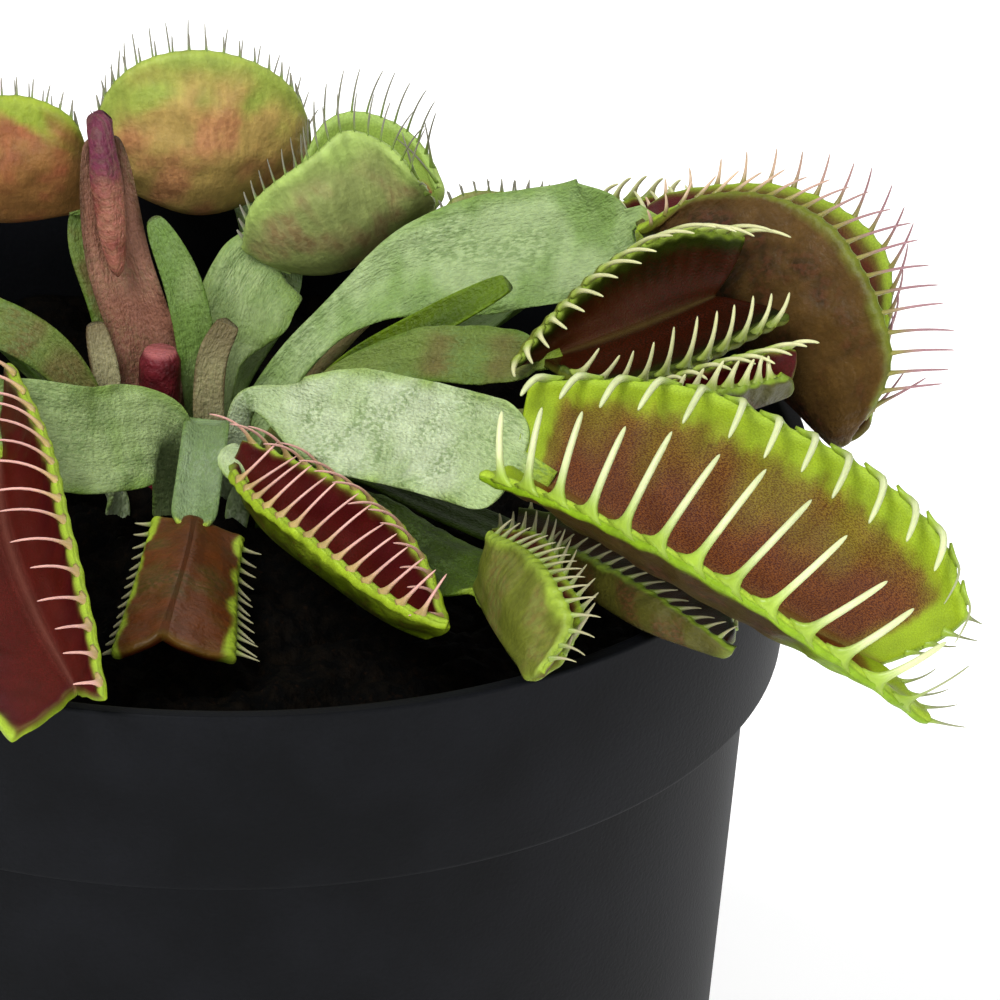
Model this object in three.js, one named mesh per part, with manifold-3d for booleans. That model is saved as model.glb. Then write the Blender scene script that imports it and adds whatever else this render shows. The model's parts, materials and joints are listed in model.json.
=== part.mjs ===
// A Venus flytrap in a round black nursery pot.
// Millimetres, +Z up. The origin is the centre of the pot's foot, where it stands, and the photo
// looks along +Y from in front and above.
// The pot is a thin tapered shell with a wide rim band. It holds a fill of peat, and the plant
// grows from a short rhizome in the peat: a rosette of flat winged leaf stalks, each ending in a
// trap of two lobes whose margins carry long teeth. Each leaf stands in a plain hole in the peat.
import * as THREE from "three";
import { mergeVertices } from "three/addons/utils/BufferGeometryUtils.js";
import Module from "manifold-3d";

const wasm = await Module();
wasm.setup();

// ---------------------------------------------------------------- driving dimensions
const POT_HEIGHT = 75;
const RIM_RADIUS = 42.5; // outside of the rim band at its top
const BAND_HEIGHT = 13.9;
const BAND_DRAFT = 1.4; // how much narrower the band is at its lower edge
const BAND_STEP = 2.1; // ledge from the band in to the body
const BODY_TAPER = Math.tan((3 * Math.PI) / 180);
const WALL = 1.2;
const POT_SIDES = 48;
const DRAIN_HOLES = 6;
const DRAIN_RADIUS = 2.4;
const DRAIN_CIRCLE = 24;

const GAP = 0.3; // clearance between pieces that touch
const JOIN_TOLERANCE = 0.01; // edges shorter than this are closed up after a join
const SOIL_LEVEL = 67.5;
const SOIL_LUMP = 0.7;
const SOIL_RINGS = [7, 14, 21, 28, 34];
const RHIZOME_AXIS = [-1.5, 7.5];

const STALK_EDGE = 0.65; // thickness of a winged stalk at its edges
const STALK_RIB = 1.3; // and along its midrib
const LOBE_EDGE = 0.75;
const LOBE_RIB = 1.1;
const TOOTH_FOOT = 0.5; // share of the tooth pitch that a tooth's foot takes

// ---------------------------------------------------------------- colours
const PALE_GREEN = { color: 0x8fae72, roughness: 0.6 };
const OLIVE = { color: 0x6f7a3c, roughness: 0.6 };
const BROWN_STALK = { color: 0x7d5a4a, roughness: 0.6 };
const TRAP_GREEN = { color: 0x93b52c, roughness: 0.45 };
const DRY_LEAF = { color: 0x8d8a6a, roughness: 0.85 };
const SCAPE_RED = { color: 0x6d1a2a, roughness: 0.4 };
const PEAT = { color: 0x17120e, roughness: 0.95 };
const BLACK_PLASTIC = { color: 0x232528, roughness: 0.5 };
const RHIZOME = { color: 0xd9d3b0, roughness: 0.7 };

// ---------------------------------------------------------------- the leaves
// path: the stalk's midrib, from its foot in the peat to the trap. width: at the foot, at its
// widest and at the neck. grow: where along it (0 to 1) it widens; shoulder: where it narrows to
// the neck. up: the way its upper face looks. fold: how far its wings rise, in degrees.
// trap: its midrib and the margins of its two lobes, as curves through points from the stalk to
// the tip. bulge: how far each lobe bellies out. tooth: length of each lobe's teeth at the stalk,
// in the middle and at the tip. curl: how far they bend in over the mouth, in degrees. lean: how
// much each lobe's teeth slant towards the tip, at the stalk and at the tip.
const LEAVES = [
  {
    name: "leaf_front_right", look: PALE_GREEN,
    path: [[1.6, 3.8, 61], [1.7, 3.4, 70], [2.6, 1, 77], [6.4, -4, 78.6], [13, -12, 81.2],
      [20.5, -22.5, 83.9]],
    width: [1.8, 7.8, 2.4], grow: [0.34, 0.58], shoulder: [0.9, 0.95], up: [-0.02, -0.88, 0.48],
    fold: 6,
    trap: {
      rib: [[20.5, -22.5, 83.9], [31, -28.6, 80.1], [44.9, -34.5, 75.6]],
      lobes: [
        [[21.5, -19.5, 89], [26, -20, 89.6], [33, -21.5, 89.7], [39.1, -23.5, 87.9], [44.8, -26.8, 86],
          [49.2, -30.5, 83], [50.8, -34, 79.2]],
        [[18, -26.5, 85], [22, -32, 86.5], [32.5, -41, 85.5], [43.5, -44.5, 79.5], [47.5, -42.5, 75.5]],
      ],
      bulge: [1.2, 1.2], teeth: [14, 14], lean: [[-0.6, 1.2], [-0.4, 0.65]],
      tooth: [[3, 5.6, 4.2], [4.6, 8.6, 4.6]], curl: [124, 75],
    },
  },
  {
    name: "leaf_right_back", look: PALE_GREEN,
    path: [[2.6, 10.2, 61], [2.8, 9.2, 70], [7.2, 9.4, 77.8], [13.5, 10.6, 82.2], [22, 11.3, 84.3],
      [27.5, 11, 85.6], [30.5, 10, 87.8]],
    width: [2.8, 9, 1.8], grow: [0.4, 0.7], shoulder: [0.86, 0.93], up: [-0.1, -0.75, 0.6],
    fold: 14,
    trap: {
      rib: [[30.5, 10, 87.8], [34.5, 4.5, 84], [39.5, -0.5, 80.5], [44, -5.5, 78]],
      lobes: [
        [[31, 14.5, 86], [33, 17, 86.5], [41.5, 15.5, 88], [48, 7.5, 86.5], [46.5, -4, 79]],
        [[30, 5, 89], [34, 3.5, 92.5], [39, 0.5, 94], [43.5, -3.5, 93], [47, -9, 87], [46.5, -9.5, 83.5],
          [44.5, -7, 79]],
      ],
      bulge: [1.5, 2.2], teeth: [13, 17], lean: [[-0.15, 0.35], [-0.15, 0.35]],
      tooth: [[1, 4, 5], [0.8, 4.8, 4.5]], curl: [40, 40],
    },
  },
  {
    name: "leaf_right", look: OLIVE,
    path: [[3.7, 6, 61], [4, 5.4, 70], [8, 3.4, 77], [14.5, 0.4, 81], [23, -7, 84.5]],
    width: [1.8, 4.6, 1.6], grow: [0.4, 0.75], shoulder: [0.86, 0.95], up: [-0.05, -0.7, 0.7],
    fold: 10,
    trap: {
      rib: [[23, -7, 84.5], [29, -5.2, 86], [35, -2.5, 87.5]],
      lobes: [
        [[20.5, -8.7, 84.6], [22, -8, 86.5], [24.5, -6.5, 89], [28, -4.5, 91.5], [32.5, -3, 93],
          [37, -1.5, 92]],
        [[24, -11, 85.5], [28, -13, 85.5], [33, -12.5, 87], [37, -10, 88], [40, -7, 88]],
      ],
      bulge: [1, 1], teeth: [16, 12], lean: [[-0.3, 0.9], [0.25, 0.75]],
      tooth: [[1.5, 4.5, 4.5], [2.5, 4, 2.5]], curl: [60, 75],
    },
  },
  {
    name: "leaf_small_right", look: TRAP_GREEN,
    path: [[7.6, 4.6, 61], [7.9, 3.9, 70], [11, -2, 75.6], [17.5, -8.5, 79.4], [28.5, -15.2, 83.8]],
    width: [1.5, 3, 1.2], grow: [0.2, 0.6], shoulder: [0.86, 0.97], up: [0, -0.7, 0.7], fold: 8,
    trap: {
      rib: [[28.5, -15.2, 83.8], [32.5, -15.6, 84.6], [36, -15, 85.2], [39.5, -13.6, 85.8]],
      lobes: [
        [[28.5, -14.6, 85], [30.5, -15, 86.8], [32.5, -15, 87.8], [35.5, -14.5, 88.6], [38, -13.2, 88.7],
          [39.8, -12.2, 88.4]],
        [[29, -16.6, 85.6], [31, -17.8, 87], [33, -18, 87.8], [36, -17.4, 88], [39, -15, 87.6]],
      ],
      bulge: [0.5, 0.5], teeth: [10, 10], lean: [[0.45, 0.95], [0.45, 0.95]],
      tooth: [[2.4, 3.4, 2.5], [1.2, 2, 1.5]], curl: [80, 30],
    },
  },
  {
    name: "leaf_left_front", look: PALE_GREEN,
    path: [[-3.2, 3.2, 61], [-3.1, 2.7, 69.5], [-3.4, -0.2, 74.6], [-8.6, -5, 76.6], [-14.5, -9, 79]],
    width: [2, 7.6, 2], grow: [0.3, 0.56], shoulder: [0.88, 0.98], up: [0.05, -0.85, 0.5], fold: 6,
    trap: {
      rib: [[-14.5, -9, 79], [-14, -20, 78], [-11.5, -32.5, 77.5], [-8.5, -42.5, 77]],
      lobes: [
        [[-14, -6.5, 83.5], [-11, -18, 83], [-9.5, -29, 82.5], [-8, -36.5, 80.5], [-6.5, -45.5, 78]],
        [[-18.5, -8.5, 81.5], [-20.5, -21, 81.5], [-19.5, -33, 80], [-16.5, -43, 78], [-12.5, -49, 76.6]],
      ],
      bulge: [1, 1.2], teeth: [15, 14], lean: [[-0.1, 0.4], [-0.1, 0.4]],
      tooth: [[4, 5.5, 2.5], [4, 5.5, 3]], curl: [80, 80],
    },
  },
  {
    name: "leaf_front", look: PALE_GREEN,
    path: [[-0.8, 1.6, 61], [-0.7, 1.4, 70], [-0.3, 0.4, 75], [-0.6, -4.5, 74.6], [-1.1, -11, 73.4]],
    width: [1.8, 3.4, 1.4], grow: [0.3, 0.55], shoulder: [0.9, 0.98], up: [0, -0.6, 0.8], fold: 16,
    trap: {
      rib: [[-1.1, -11, 73.4], [-1.6, -17, 73.4], [-3, -27.5, 72.8]],
      lobes: [
        [[2.5, -11, 72], [2, -16, 71.2], [2, -22.5, 71], [2, -27, 71]],
        [[-4, -10, 73], [-4.5, -15, 72.5], [-5.5, -22, 72], [-6.5, -27.5, 71.5]],
      ],
      bulge: [0.5, 0.5], teeth: [10, 10], lean: [[-0.05, 0.45], [-0.05, 0.45]],
      tooth: [[1.4, 1.4, 2], [1.2, 1, 0.8]], curl: [-10, -10],
    },
  },
  {
    name: "leaf_front_low", look: TRAP_GREEN,
    path: [[1.5, 1, 61], [2.1, 0.2, 69], [3.4, -3.6, 74.4], [2.6, -6.6, 76.4], [1.6, -8.6, 77]],
    width: [1.6, 2.4, 1.4], grow: [0.2, 0.6], shoulder: [0.8, 0.96], up: [0, -0.6, 0.8], fold: 6,
    trap: {
      rib: [[1.6, -8.6, 77], [4, -14, 75.2], [8.5, -20, 74.2], [12.5, -26, 74.2], [15, -29, 74.5]],
      lobes: [
        [[2.5, -8, 78.5], [6, -12, 79], [9.5, -16.5, 79.5], [13, -21.5, 79], [15, -26.5, 78],
          [16, -31, 76]],
        [[1.5, -12.5, 78], [3.5, -18, 78.5], [7, -23.5, 78.5], [10.5, -28.5, 78], [14, -32, 77.5],
          [16, -32.5, 77]],
      ],
      bulge: [0.5, 0.5], teeth: [15, 15], lean: [[-0.25, 0.25], [-0.25, 0.25]],
      tooth: [[4.5, 4.8, 3], [4, 4.8, 3]], curl: [75, 70],
    },
  },
  {
    name: "leaf_over_rim", look: TRAP_GREEN,
    path: [[3.9, 1.2, 61], [4.4, 0.4, 69], [8, -7.6, 73.3], [13, -15.5, 74.4], [18.5, -24.5, 75.6]],
    width: [1.6, 5.6, 1.3], grow: [0.25, 0.6], shoulder: [0.86, 0.97], up: [0.1, -0.6, 0.8], fold: 4,
    trap: {
      rib: [[18.5, -24.5, 75.6], [19.8, -32, 76.1], [21.5, -39, 76.8]],
      lobes: [
        [[19.5, -21, 78.5], [22.5, -25, 80], [24, -30, 79.5], [25, -33.5, 78.6], [23.5, -38, 77.6]],
        [[19, -24.5, 80], [21.5, -30.5, 81.5], [23, -36, 82], [24, -39, 80.5], [22, -40.5, 77.8]],
      ],
      bulge: [0.5, 0.8], teeth: [12, 14], lean: [[-0.05, 0.45], [-0.05, 0.45]],
      tooth: [[1, 2, 1.2], [1.4, 2.4, 1.6]], curl: [20, 30],
    },
  },
  {
    name: "leaf_under_front_right", look: TRAP_GREEN,
    path: [[5.6, 3.6, 61], [6.4, 2.4, 69], [10.8, -3, 73.4], [16, -9.5, 74.2], [21, -16, 75]],
    width: [1.6, 3.2, 1.2], grow: [0.25, 0.6], shoulder: [0.86, 0.97], up: [0.1, -0.3, 0.95], fold: 6,
    trap: {
      rib: [[21, -16, 75], [25.5, -23.5, 75.6], [29.5, -31, 76.6], [34, -34.5, 76.6]],
      lobes: [
        [[21.5, -12, 75.4], [27, -15, 75.8], [32, -21, 75.8], [35.2, -27.5, 76], [35.4, -31.6, 76.2]],
        [[21, -19.5, 77], [24.5, -23.6, 78.4], [29, -29.6, 78.8], [33, -34, 78], [35, -35.6, 77.2]],
      ],
      bulge: [0.5, 0.6], teeth: [12, 15], lean: [[-0.05, 0.45], [-0.05, 0.45]],
      tooth: [[1, 1.5, 1.5], [1, 1.6, 1.6]], curl: [60, 40],
    },
  },
  {
    name: "leaf_back_middle", look: PALE_GREEN,
    path: [[0.4, 12.8, 61], [0.5, 13.2, 70], [2, 15.5, 76.4], [3, 17, 78.6], [4.5, 18.5, 80]],
    width: [1.8, 7, 1.6], grow: [0.55, 0.75], shoulder: [0.86, 0.97], up: [0, -0.9, 0.4], fold: 4,
    trap: {
      rib: [[4.5, 18.5, 80], [8.5, 18.8, 79.4], [13, 20, 81.2], [15.5, 20, 84]],
      lobes: [
        [[4.2, 21, 82], [6.2, 22.5, 85.9], [7.9, 23.5, 88.9], [9.9, 24, 89.6], [12.3, 23.8, 89.2],
          [14.3, 23, 88.3], [15.6, 21.8, 86.9], [16.2, 20.5, 85.3]],
        [[2, 17.5, 81.5], [2.8, 16, 85.8], [7, 15.5, 89.8], [9.3, 16.3, 91.4], [12, 16.3, 90.6],
          [13.9, 15.8, 88.9], [15.1, 17.2, 86.2]],
      ],
      bulge: [1, 1.6], teeth: [12, 15], lean: [[0.05, 0.55], [0.05, 0.55]],
      tooth: [[0.6, 3.6, 4.4], [0.6, 2.6, 4]], curl: [10, 15],
    },
  },
  {
    name: "leaf_back", look: OLIVE,
    path: [[-2.4, 14.4, 61], [-2.2, 15.4, 70], [1, 21.5, 76], [5.6, 27, 79.5], [6.5, 30, 82.5]],
    width: [1.8, 3.4, 1.6], grow: [0.2, 0.6], shoulder: [0.84, 0.97], up: [0, -0.6, 0.8], fold: 8,
    trap: {
      rib: [[6.5, 30, 82.5], [2.5, 28, 81], [-1.5, 27, 80.4], [-8.5, 26.5, 83.5]],
      lobes: [
        [[7, 28, 85.5], [5.5, 26, 90.5], [2.5, 25, 93], [-1.5, 24.5, 94], [-5.5, 24.5, 93], [-8, 24.5, 90.5],
          [-9, 24.5, 86]],
        [[7, 35, 82], [5, 39.5, 84], [-1.5, 42, 86], [-6, 41, 85.5], [-8, 37, 84.5], [-9, 31, 83]],
      ],
      bulge: [2, 1.6], teeth: [14, 14], lean: [[-0.25, 0.25], [-0.25, 0.25]],
      tooth: [[1.2, 1.2, 1.2], [2.5, 3, 2.5]], curl: [20, 20],
    },
  },
  {
    name: "leaf_back_left", look: OLIVE,
    path: [[-5.4, 12.8, 61], [-5.8, 13.4, 70], [-7.2, 15.5, 76.5], [-8.8, 17, 81], [-9.5, 18, 84.5]],
    width: [1.8, 3.4, 1.6], grow: [0.2, 0.6], shoulder: [0.84, 0.97], up: [0.1, -0.6, 0.8], fold: 8,
    trap: {
      rib: [[-9.5, 18, 84.5], [-15, 17, 84], [-21, 16.5, 85]],
      lobes: [
        [[-9.5, 17, 89], [-10.5, 15.5, 92.5], [-14, 15.5, 94], [-17.5, 15, 93.5], [-20.5, 15, 90.5],
          [-21.5, 15.5, 87]],
        [[-10, 23, 86], [-12, 26.5, 87], [-15, 28, 87.5], [-18, 27, 87], [-21.5, 20, 85]],
      ],
      bulge: [1.6, 1.4], teeth: [12, 12], lean: [[-0.25, 0.25], [-0.25, 0.25]],
      tooth: [[1.2, 1.5, 1.5], [2, 2.5, 2]], curl: [20, 25],
    },
  },
  {
    name: "leaf_behind_right", look: OLIVE,
    path: [[3.8, 12.2, 61], [4.4, 12.2, 70], [8.6, 12.9, 76.8], [13, 15, 80.4], [16.9, 16.5, 82.6]],
    width: [1.8, 3.4, 1.4], grow: [0.2, 0.6], shoulder: [0.84, 0.97], up: [0, -0.7, 0.7], fold: 8,
    trap: {
      rib: [[16.9, 16.5, 82.6], [21.1, 17, 83.8], [25.2, 17.8, 85]],
      lobes: [
        [[16.4, 18.2, 84], [17.4, 18.6, 85.1], [19.3, 19, 85.5], [21.8, 19.3, 85.4], [24.2, 19.3, 85.1],
          [25.5, 18.6, 84.8]],
        [[16.1, 15.2, 85], [17.1, 15, 86.7], [18.7, 15.2, 87.3], [21.4, 15.8, 87], [23.9, 16.5, 86.6],
          [25.2, 17.2, 85.7]],
      ],
      bulge: [0.5, 0.5], teeth: [11, 11], lean: [[-0.1, 0.4], [-0.1, 0.4]],
      tooth: [[0.8, 1, 1], [0.8, 1, 1]], curl: [20, 20],
    },
  },
  {
    name: "leaf_left", look: OLIVE,
    path: [[-6.8, 6.6, 61], [-7.2, 6.2, 70], [-11.5, 6, 78], [-19.5, 6, 82], [-27, 6, 84]],
    width: [1.8, 3.6, 1.8], grow: [0.2, 0.6], shoulder: [0.86, 0.97], up: [0.05, -0.75, 0.65],
    fold: 10,
    trap: plainTrap({
      from: [-27, 6, 84], tip: [-45, 2, 80], mouth: [-0.1, -0.2, 0.97], lobe: 10.5, open: [42, 38],
      sag: 1.4, bulge: 1.2, teeth: 14, tooth: 5.5, curl: 60,
    }),
  },
  {
    name: "leaf_left_behind", look: BROWN_STALK,
    path: [[-7.2, 9.6, 61], [-8, 10, 69.5], [-11.5, 12.6, 75], [-18.5, 17, 77.5], [-27, 22, 80.5]],
    width: [1.6, 2.6, 1.6], grow: [0.2, 0.6], shoulder: [0.86, 0.97], up: [0, -0.6, 0.8], fold: 8,
    trap: plainTrap({
      from: [-27, 22, 80.5], tip: [-39.5, 31.5, 79.5], mouth: [-0.1, 0.1, 0.98], lobe: 8.5,
      open: [32, 32], sag: 1, bulge: 1, teeth: 13, tooth: 5, curl: 60,
    }),
  },
  {
    name: "leaf_left_low", look: PALE_GREEN,
    path: [[-6.8, 3.4, 61], [-7.2, 2.9, 70], [-14.5, 0.4, 75], [-22.5, -5.5, 77], [-29, -9.5, 79]],
    width: [1.8, 5.2, 1.6], grow: [0.2, 0.6], shoulder: [0.86, 0.97], up: [0, -0.2, 0.95], fold: 8,
    trap: plainTrap({
      from: [-29, -9.5, 79], tip: [-43, -19.5, 78.5], mouth: [-0.1, 0.1, 0.98], lobe: 8.5,
      open: [30, 30], sag: 1, bulge: 1, teeth: 13, tooth: 5, curl: 60,
    }),
  },
  {
    name: "leaf_far_back", look: PALE_GREEN,
    path: [[1, 16.4, 61], [1.6, 17.4, 69], [4.4, 24.5, 73.4], [3.6, 34, 76.6], [1, 42, 78.2]],
    width: [1.8, 4.4, 1.6], grow: [0.2, 0.6], shoulder: [0.86, 0.97], up: [0, 0.3, 0.95], fold: 8,
    trap: plainTrap({
      from: [1, 42, 78.2], tip: [-3, 54.5, 73.5], mouth: [0, 0.35, 0.93], lobe: 6, open: [45, 45],
      sag: 1, bulge: 1, teeth: 12, tooth: 4, curl: 75,
    }),
  },
  {
    name: "leaf_far_back_left", look: PALE_GREEN,
    path: [[-8.6, 13, 61], [-10, 14.2, 69], [-16, 19.6, 73.6], [-22.5, 27.5, 76.4], [-27, 34, 78.4]],
    width: [1.8, 5.2, 1.6], grow: [0.4, 0.7], shoulder: [0.86, 0.97], up: [0, 0.3, 0.95], fold: 8,
    trap: plainTrap({
      from: [-27, 34, 78.4], tip: [-33, 46.5, 75.5], mouth: [-0.1, 0.3, 0.95], lobe: 8,
      open: [40, 40], sag: 1, bulge: 1, teeth: 12, tooth: 4.5, curl: 60,
    }),
  },
  {
    name: "leaf_far_back_right", look: PALE_GREEN,
    path: [[6.4, 9.6, 61], [7.2, 10.2, 69], [14.6, 15.4, 72.6], [20.5, 20, 75], [26, 25, 76.8]],
    width: [1.8, 4.6, 1.6], grow: [0.2, 0.6], shoulder: [0.86, 0.97], up: [0, 0.3, 0.95], fold: 8,
    trap: plainTrap({
      from: [26, 25, 76.8], tip: [36, 33, 76.4], mouth: [0.1, 0.3, 0.95], lobe: 5, open: [45, 45],
      sag: 0.5, bulge: 0.8, teeth: 11, tooth: 3, curl: 70,
    }),
  },
  {
    name: "leaf_thin", look: TRAP_GREEN,
    path: [[4.9, 8.2, 61], [5.4, 7.8, 70], [9.8, 5.6, 77.2], [15.6, 4, 82], [20.8, 3.6, 85.4]],
    width: [1.4, 2.5, 1.2], grow: [0.2, 0.5], shoulder: [0.75, 1], up: [-0.1, -0.7, 0.7], fold: 14,
  },
  {
    name: "young_leaf_with_bud", look: BROWN_STALK,
    path: [[-4.4, 10.6, 61], [-4.2, 10.8, 70], [-5, 12, 76.5], [-7, 12.8, 83], [-8.2, 13.5, 91.8]],
    width: [2.4, 5.2, 2.4], grow: [0.1, 0.4], shoulder: [0.6, 1], up: [0.12, -1, 0.1], fold: 24,
    bud: { top: [-8.1, 11.6, 92.2], bottom: [-6.8, 10.2, 82.3], radius: 1.15 },
  },
  {
    name: "young_leaf_small", look: PALE_GREEN,
    path: [[-1, 10, 61], [-0.9, 9.8, 70], [-1, 9.6, 76], [-2.2, 10, 82], [-4.3, 10.8, 86.6]],
    width: [1.6, 3, 0.9], grow: [0.3, 0.6], shoulder: [0.7, 1], up: [0.1, -1, 0.2], fold: 16,
  },
  {
    name: "leaf_dry_stub", look: DRY_LEAF,
    path: [[0.2, 7, 61], [0.1, 6.8, 70], [-0.2, 6.6, 74.5], [0.1, 6.8, 78], [1.1, 7, 80.3]],
    width: [1.6, 2.3, 1.6], grow: [0.3, 0.6], shoulder: [0.8, 1], up: [0.1, -1, 0.1], fold: 10,
  },
  {
    name: "leaf_stub_left", look: DRY_LEAF,
    path: [[-7, 8.2, 61], [-7.2, 8.4, 70], [-7.6, 8.8, 75], [-8.4, 9.6, 78.8]],
    width: [1.4, 2.1, 1.2], grow: [0.3, 0.6], shoulder: [0.8, 1], up: [0.2, -1, 0.2], fold: 12,
  },
];

const STUMP = { foot: [-3.7, 7.2, 60], height: 18, radius: 1.55 };

// ---------------------------------------------------------------- small helpers
function vector(p) {
  return new THREE.Vector3(...p);
}

function radians(degrees) {
  return (degrees * Math.PI) / 180;
}

function smoothstep(low, high, x) {
  const t = Math.min(1, Math.max(0, (x - low) / (high - low)));
  return t * t * (3 - 2 * t);
}

function curveThrough(points) {
  return new THREE.CatmullRomCurve3(points.map(vector), false, "centripetal");
}

// A closed indexed mesh as a BufferGeometry.
function closedGeometry(points, faces) {
  const geometry = new THREE.BufferGeometry();
  const flat = new Float32Array(points.flatMap((p) => [p.x, p.y, p.z]));
  geometry.setAttribute("position", new THREE.BufferAttribute(flat, 3));
  geometry.setIndex(faces.flat());
  return geometry;
}

// The solid of a closed geometry, turned outwards if its faces look in.
function solid(geometry) {
  const bare = geometry.clone();
  bare.deleteAttribute("normal");
  bare.deleteAttribute("uv");
  const merged = mergeVertices(bare, 1e-4);
  const triVerts = new Uint32Array(merged.index.array);
  const vertProperties = new Float32Array(merged.attributes.position.array);
  const made = new wasm.Manifold(new wasm.Mesh({ numProp: 3, vertProperties, triVerts }));
  if (made.volume() >= 0) return made;
  for (let i = 0; i < triVerts.length; i += 3) {
    [triVerts[i + 1], triVerts[i + 2]] = [triVerts[i + 2], triVerts[i + 1]];
  }
  return new wasm.Manifold(new wasm.Mesh({ numProp: 3, vertProperties, triVerts }));
}

function geometryOf(made) {
  const mesh = made.getMesh();
  const geometry = new THREE.BufferGeometry();
  geometry.setAttribute("position", new THREE.BufferAttribute(mesh.vertProperties, 3));
  geometry.setIndex(new THREE.BufferAttribute(mesh.triVerts, 1));
  return geometry;
}

// ---------------------------------------------------------------- winged stalk
// Full width along the stalk: it widens from the foot, and round shoulders end it at the neck.
function stalkWidth(leaf, t) {
  const [foot, widest, neck] = leaf.width;
  const spread = foot + (widest - foot) * smoothstep(...leaf.grow, t);
  const [start, end] = leaf.shoulder;
  const fall = Math.min(1, Math.max(0, (t - start) / (end - start)));
  return neck + (spread - neck) * Math.sqrt(1 - fall ** 2);
}

// Stations closer together over the shoulders, where the outline turns quickly.
function stalkStations(leaf) {
  const [start, end] = leaf.shoulder;
  const run = [0, 0.15, 0.29, 0.43, 0.57, 0.7].map((t) => Math.min(t, (start * t) / 0.72));
  const turn = [0, 0.45, 0.75, 0.93, 1].map((t) => start + (end - start) * t);
  return end < 1 ? [...run, ...turn, 1] : [...run, ...turn];
}

// Each section has a left edge, the midrib and a right edge, on the upper and the lower face. A
// stalk that carries a trap runs on a little way into the trap's midrib.
function stalkGeometry(leaf, swell = 0) {
  const beyond = leaf.trap ? [curveThrough(leaf.trap.rib).getPointAt(0.1).toArray()] : [];
  const curve = curveThrough([...leaf.path, ...beyond]);
  const up = vector(leaf.up);
  const vertices = [];
  const stations = stalkStations(leaf);
  for (const t of stations) {
    const centre = curve.getPointAt(t);
    const tangent = curve.getTangentAt(t);
    const normal = up.clone().addScaledVector(tangent, -up.dot(tangent)).normalize();
    if (t === 0) centre.addScaledVector(tangent, -swell);
    const side = new THREE.Vector3().crossVectors(normal, tangent);
    const half = stalkWidth(leaf, t) / 2 + swell;
    const rise = half * Math.sin(radians(leaf.fold));
    const reach = half * Math.cos(radians(leaf.fold));
    const rib = STALK_RIB / 2 + swell;
    const edge = STALK_EDGE / 2 + swell;
    for (const [across, lift, thick] of [[-1, rise, edge], [0, 0, rib], [1, rise, edge]]) {
      const middle = centre.clone().addScaledVector(side, across * reach);
      middle.addScaledVector(normal, lift);
      vertices.push(middle.clone().addScaledVector(normal, thick));
      vertices.push(middle.clone().addScaledVector(normal, -thick));
    }
  }
  const faces = [];
  const ring = [0, 2, 4, 5, 3, 1]; // round the section: the upper face, then back along the lower
  const last = 6 * (stations.length - 1);
  for (let s = 0; s < last; s += 6) {
    ring.forEach((a, i) => {
      const b = ring[(i + 1) % 6];
      faces.push([s + a, s + b, s + 6 + a], [s + b, s + 6 + b, s + 6 + a]);
    });
  }
  for (const [a, b, c] of [[0, 1, 3], [0, 3, 2], [2, 3, 5], [2, 5, 4]]) {
    faces.push([a, b, c], [last + a, last + c, last + b]);
  }
  return closedGeometry(vertices, faces);
}

// ---------------------------------------------------------------- trap
// The curves of a regular trap from its midrib, the way its mouth looks and its lobes' depth and
// half-angles.
function plainTrap({ from, tip, mouth, lobe, open, sag, bulge, teeth, tooth, curl }) {
  const start = new THREE.Vector3(...from);
  const x = new THREE.Vector3(...tip).sub(start);
  const length = x.length();
  x.normalize();
  const out = new THREE.Vector3(...mouth);
  const z = out.addScaledVector(x, -out.dot(x)).normalize();
  const y = new THREE.Vector3().crossVectors(z, x);
  const place = (along, across, up) =>
    start.clone().addScaledVector(x, along).addScaledVector(y, across).addScaledVector(z, up).toArray();
  const margin = (hand) =>
    [0, 1, 2, 3, 4, 5, 6].map((i) => {
      const turn = (Math.PI * i) / 6;
      const along = (length / 2) * (1 - 1.2 * Math.cos(turn));
      const depth = lobe * (0.35 + 0.65 * Math.sin(turn));
      const half = ((open[hand > 0 ? 0 : 1] - 5 * (1 - Math.sin(turn))) * Math.PI) / 180;
      return place(along, hand * depth * Math.sin(half), depth * Math.cos(half) - sag * Math.sin(turn));
    });
  return {
    rib: [place(0, 0, 0), place(length / 2, 0, -sag), place(length, 0, 0)],
    lobes: [margin(1), margin(-1)],
    bulge: [bulge, bulge], teeth: [teeth, teeth], curl: [curl, curl],
    lean: [1, 1].map(() => [-0.15, 0.35]),
    tooth: [1, 1].map(() => [tooth * 0.5, tooth, tooth * 0.5]),
  };
}

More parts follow.
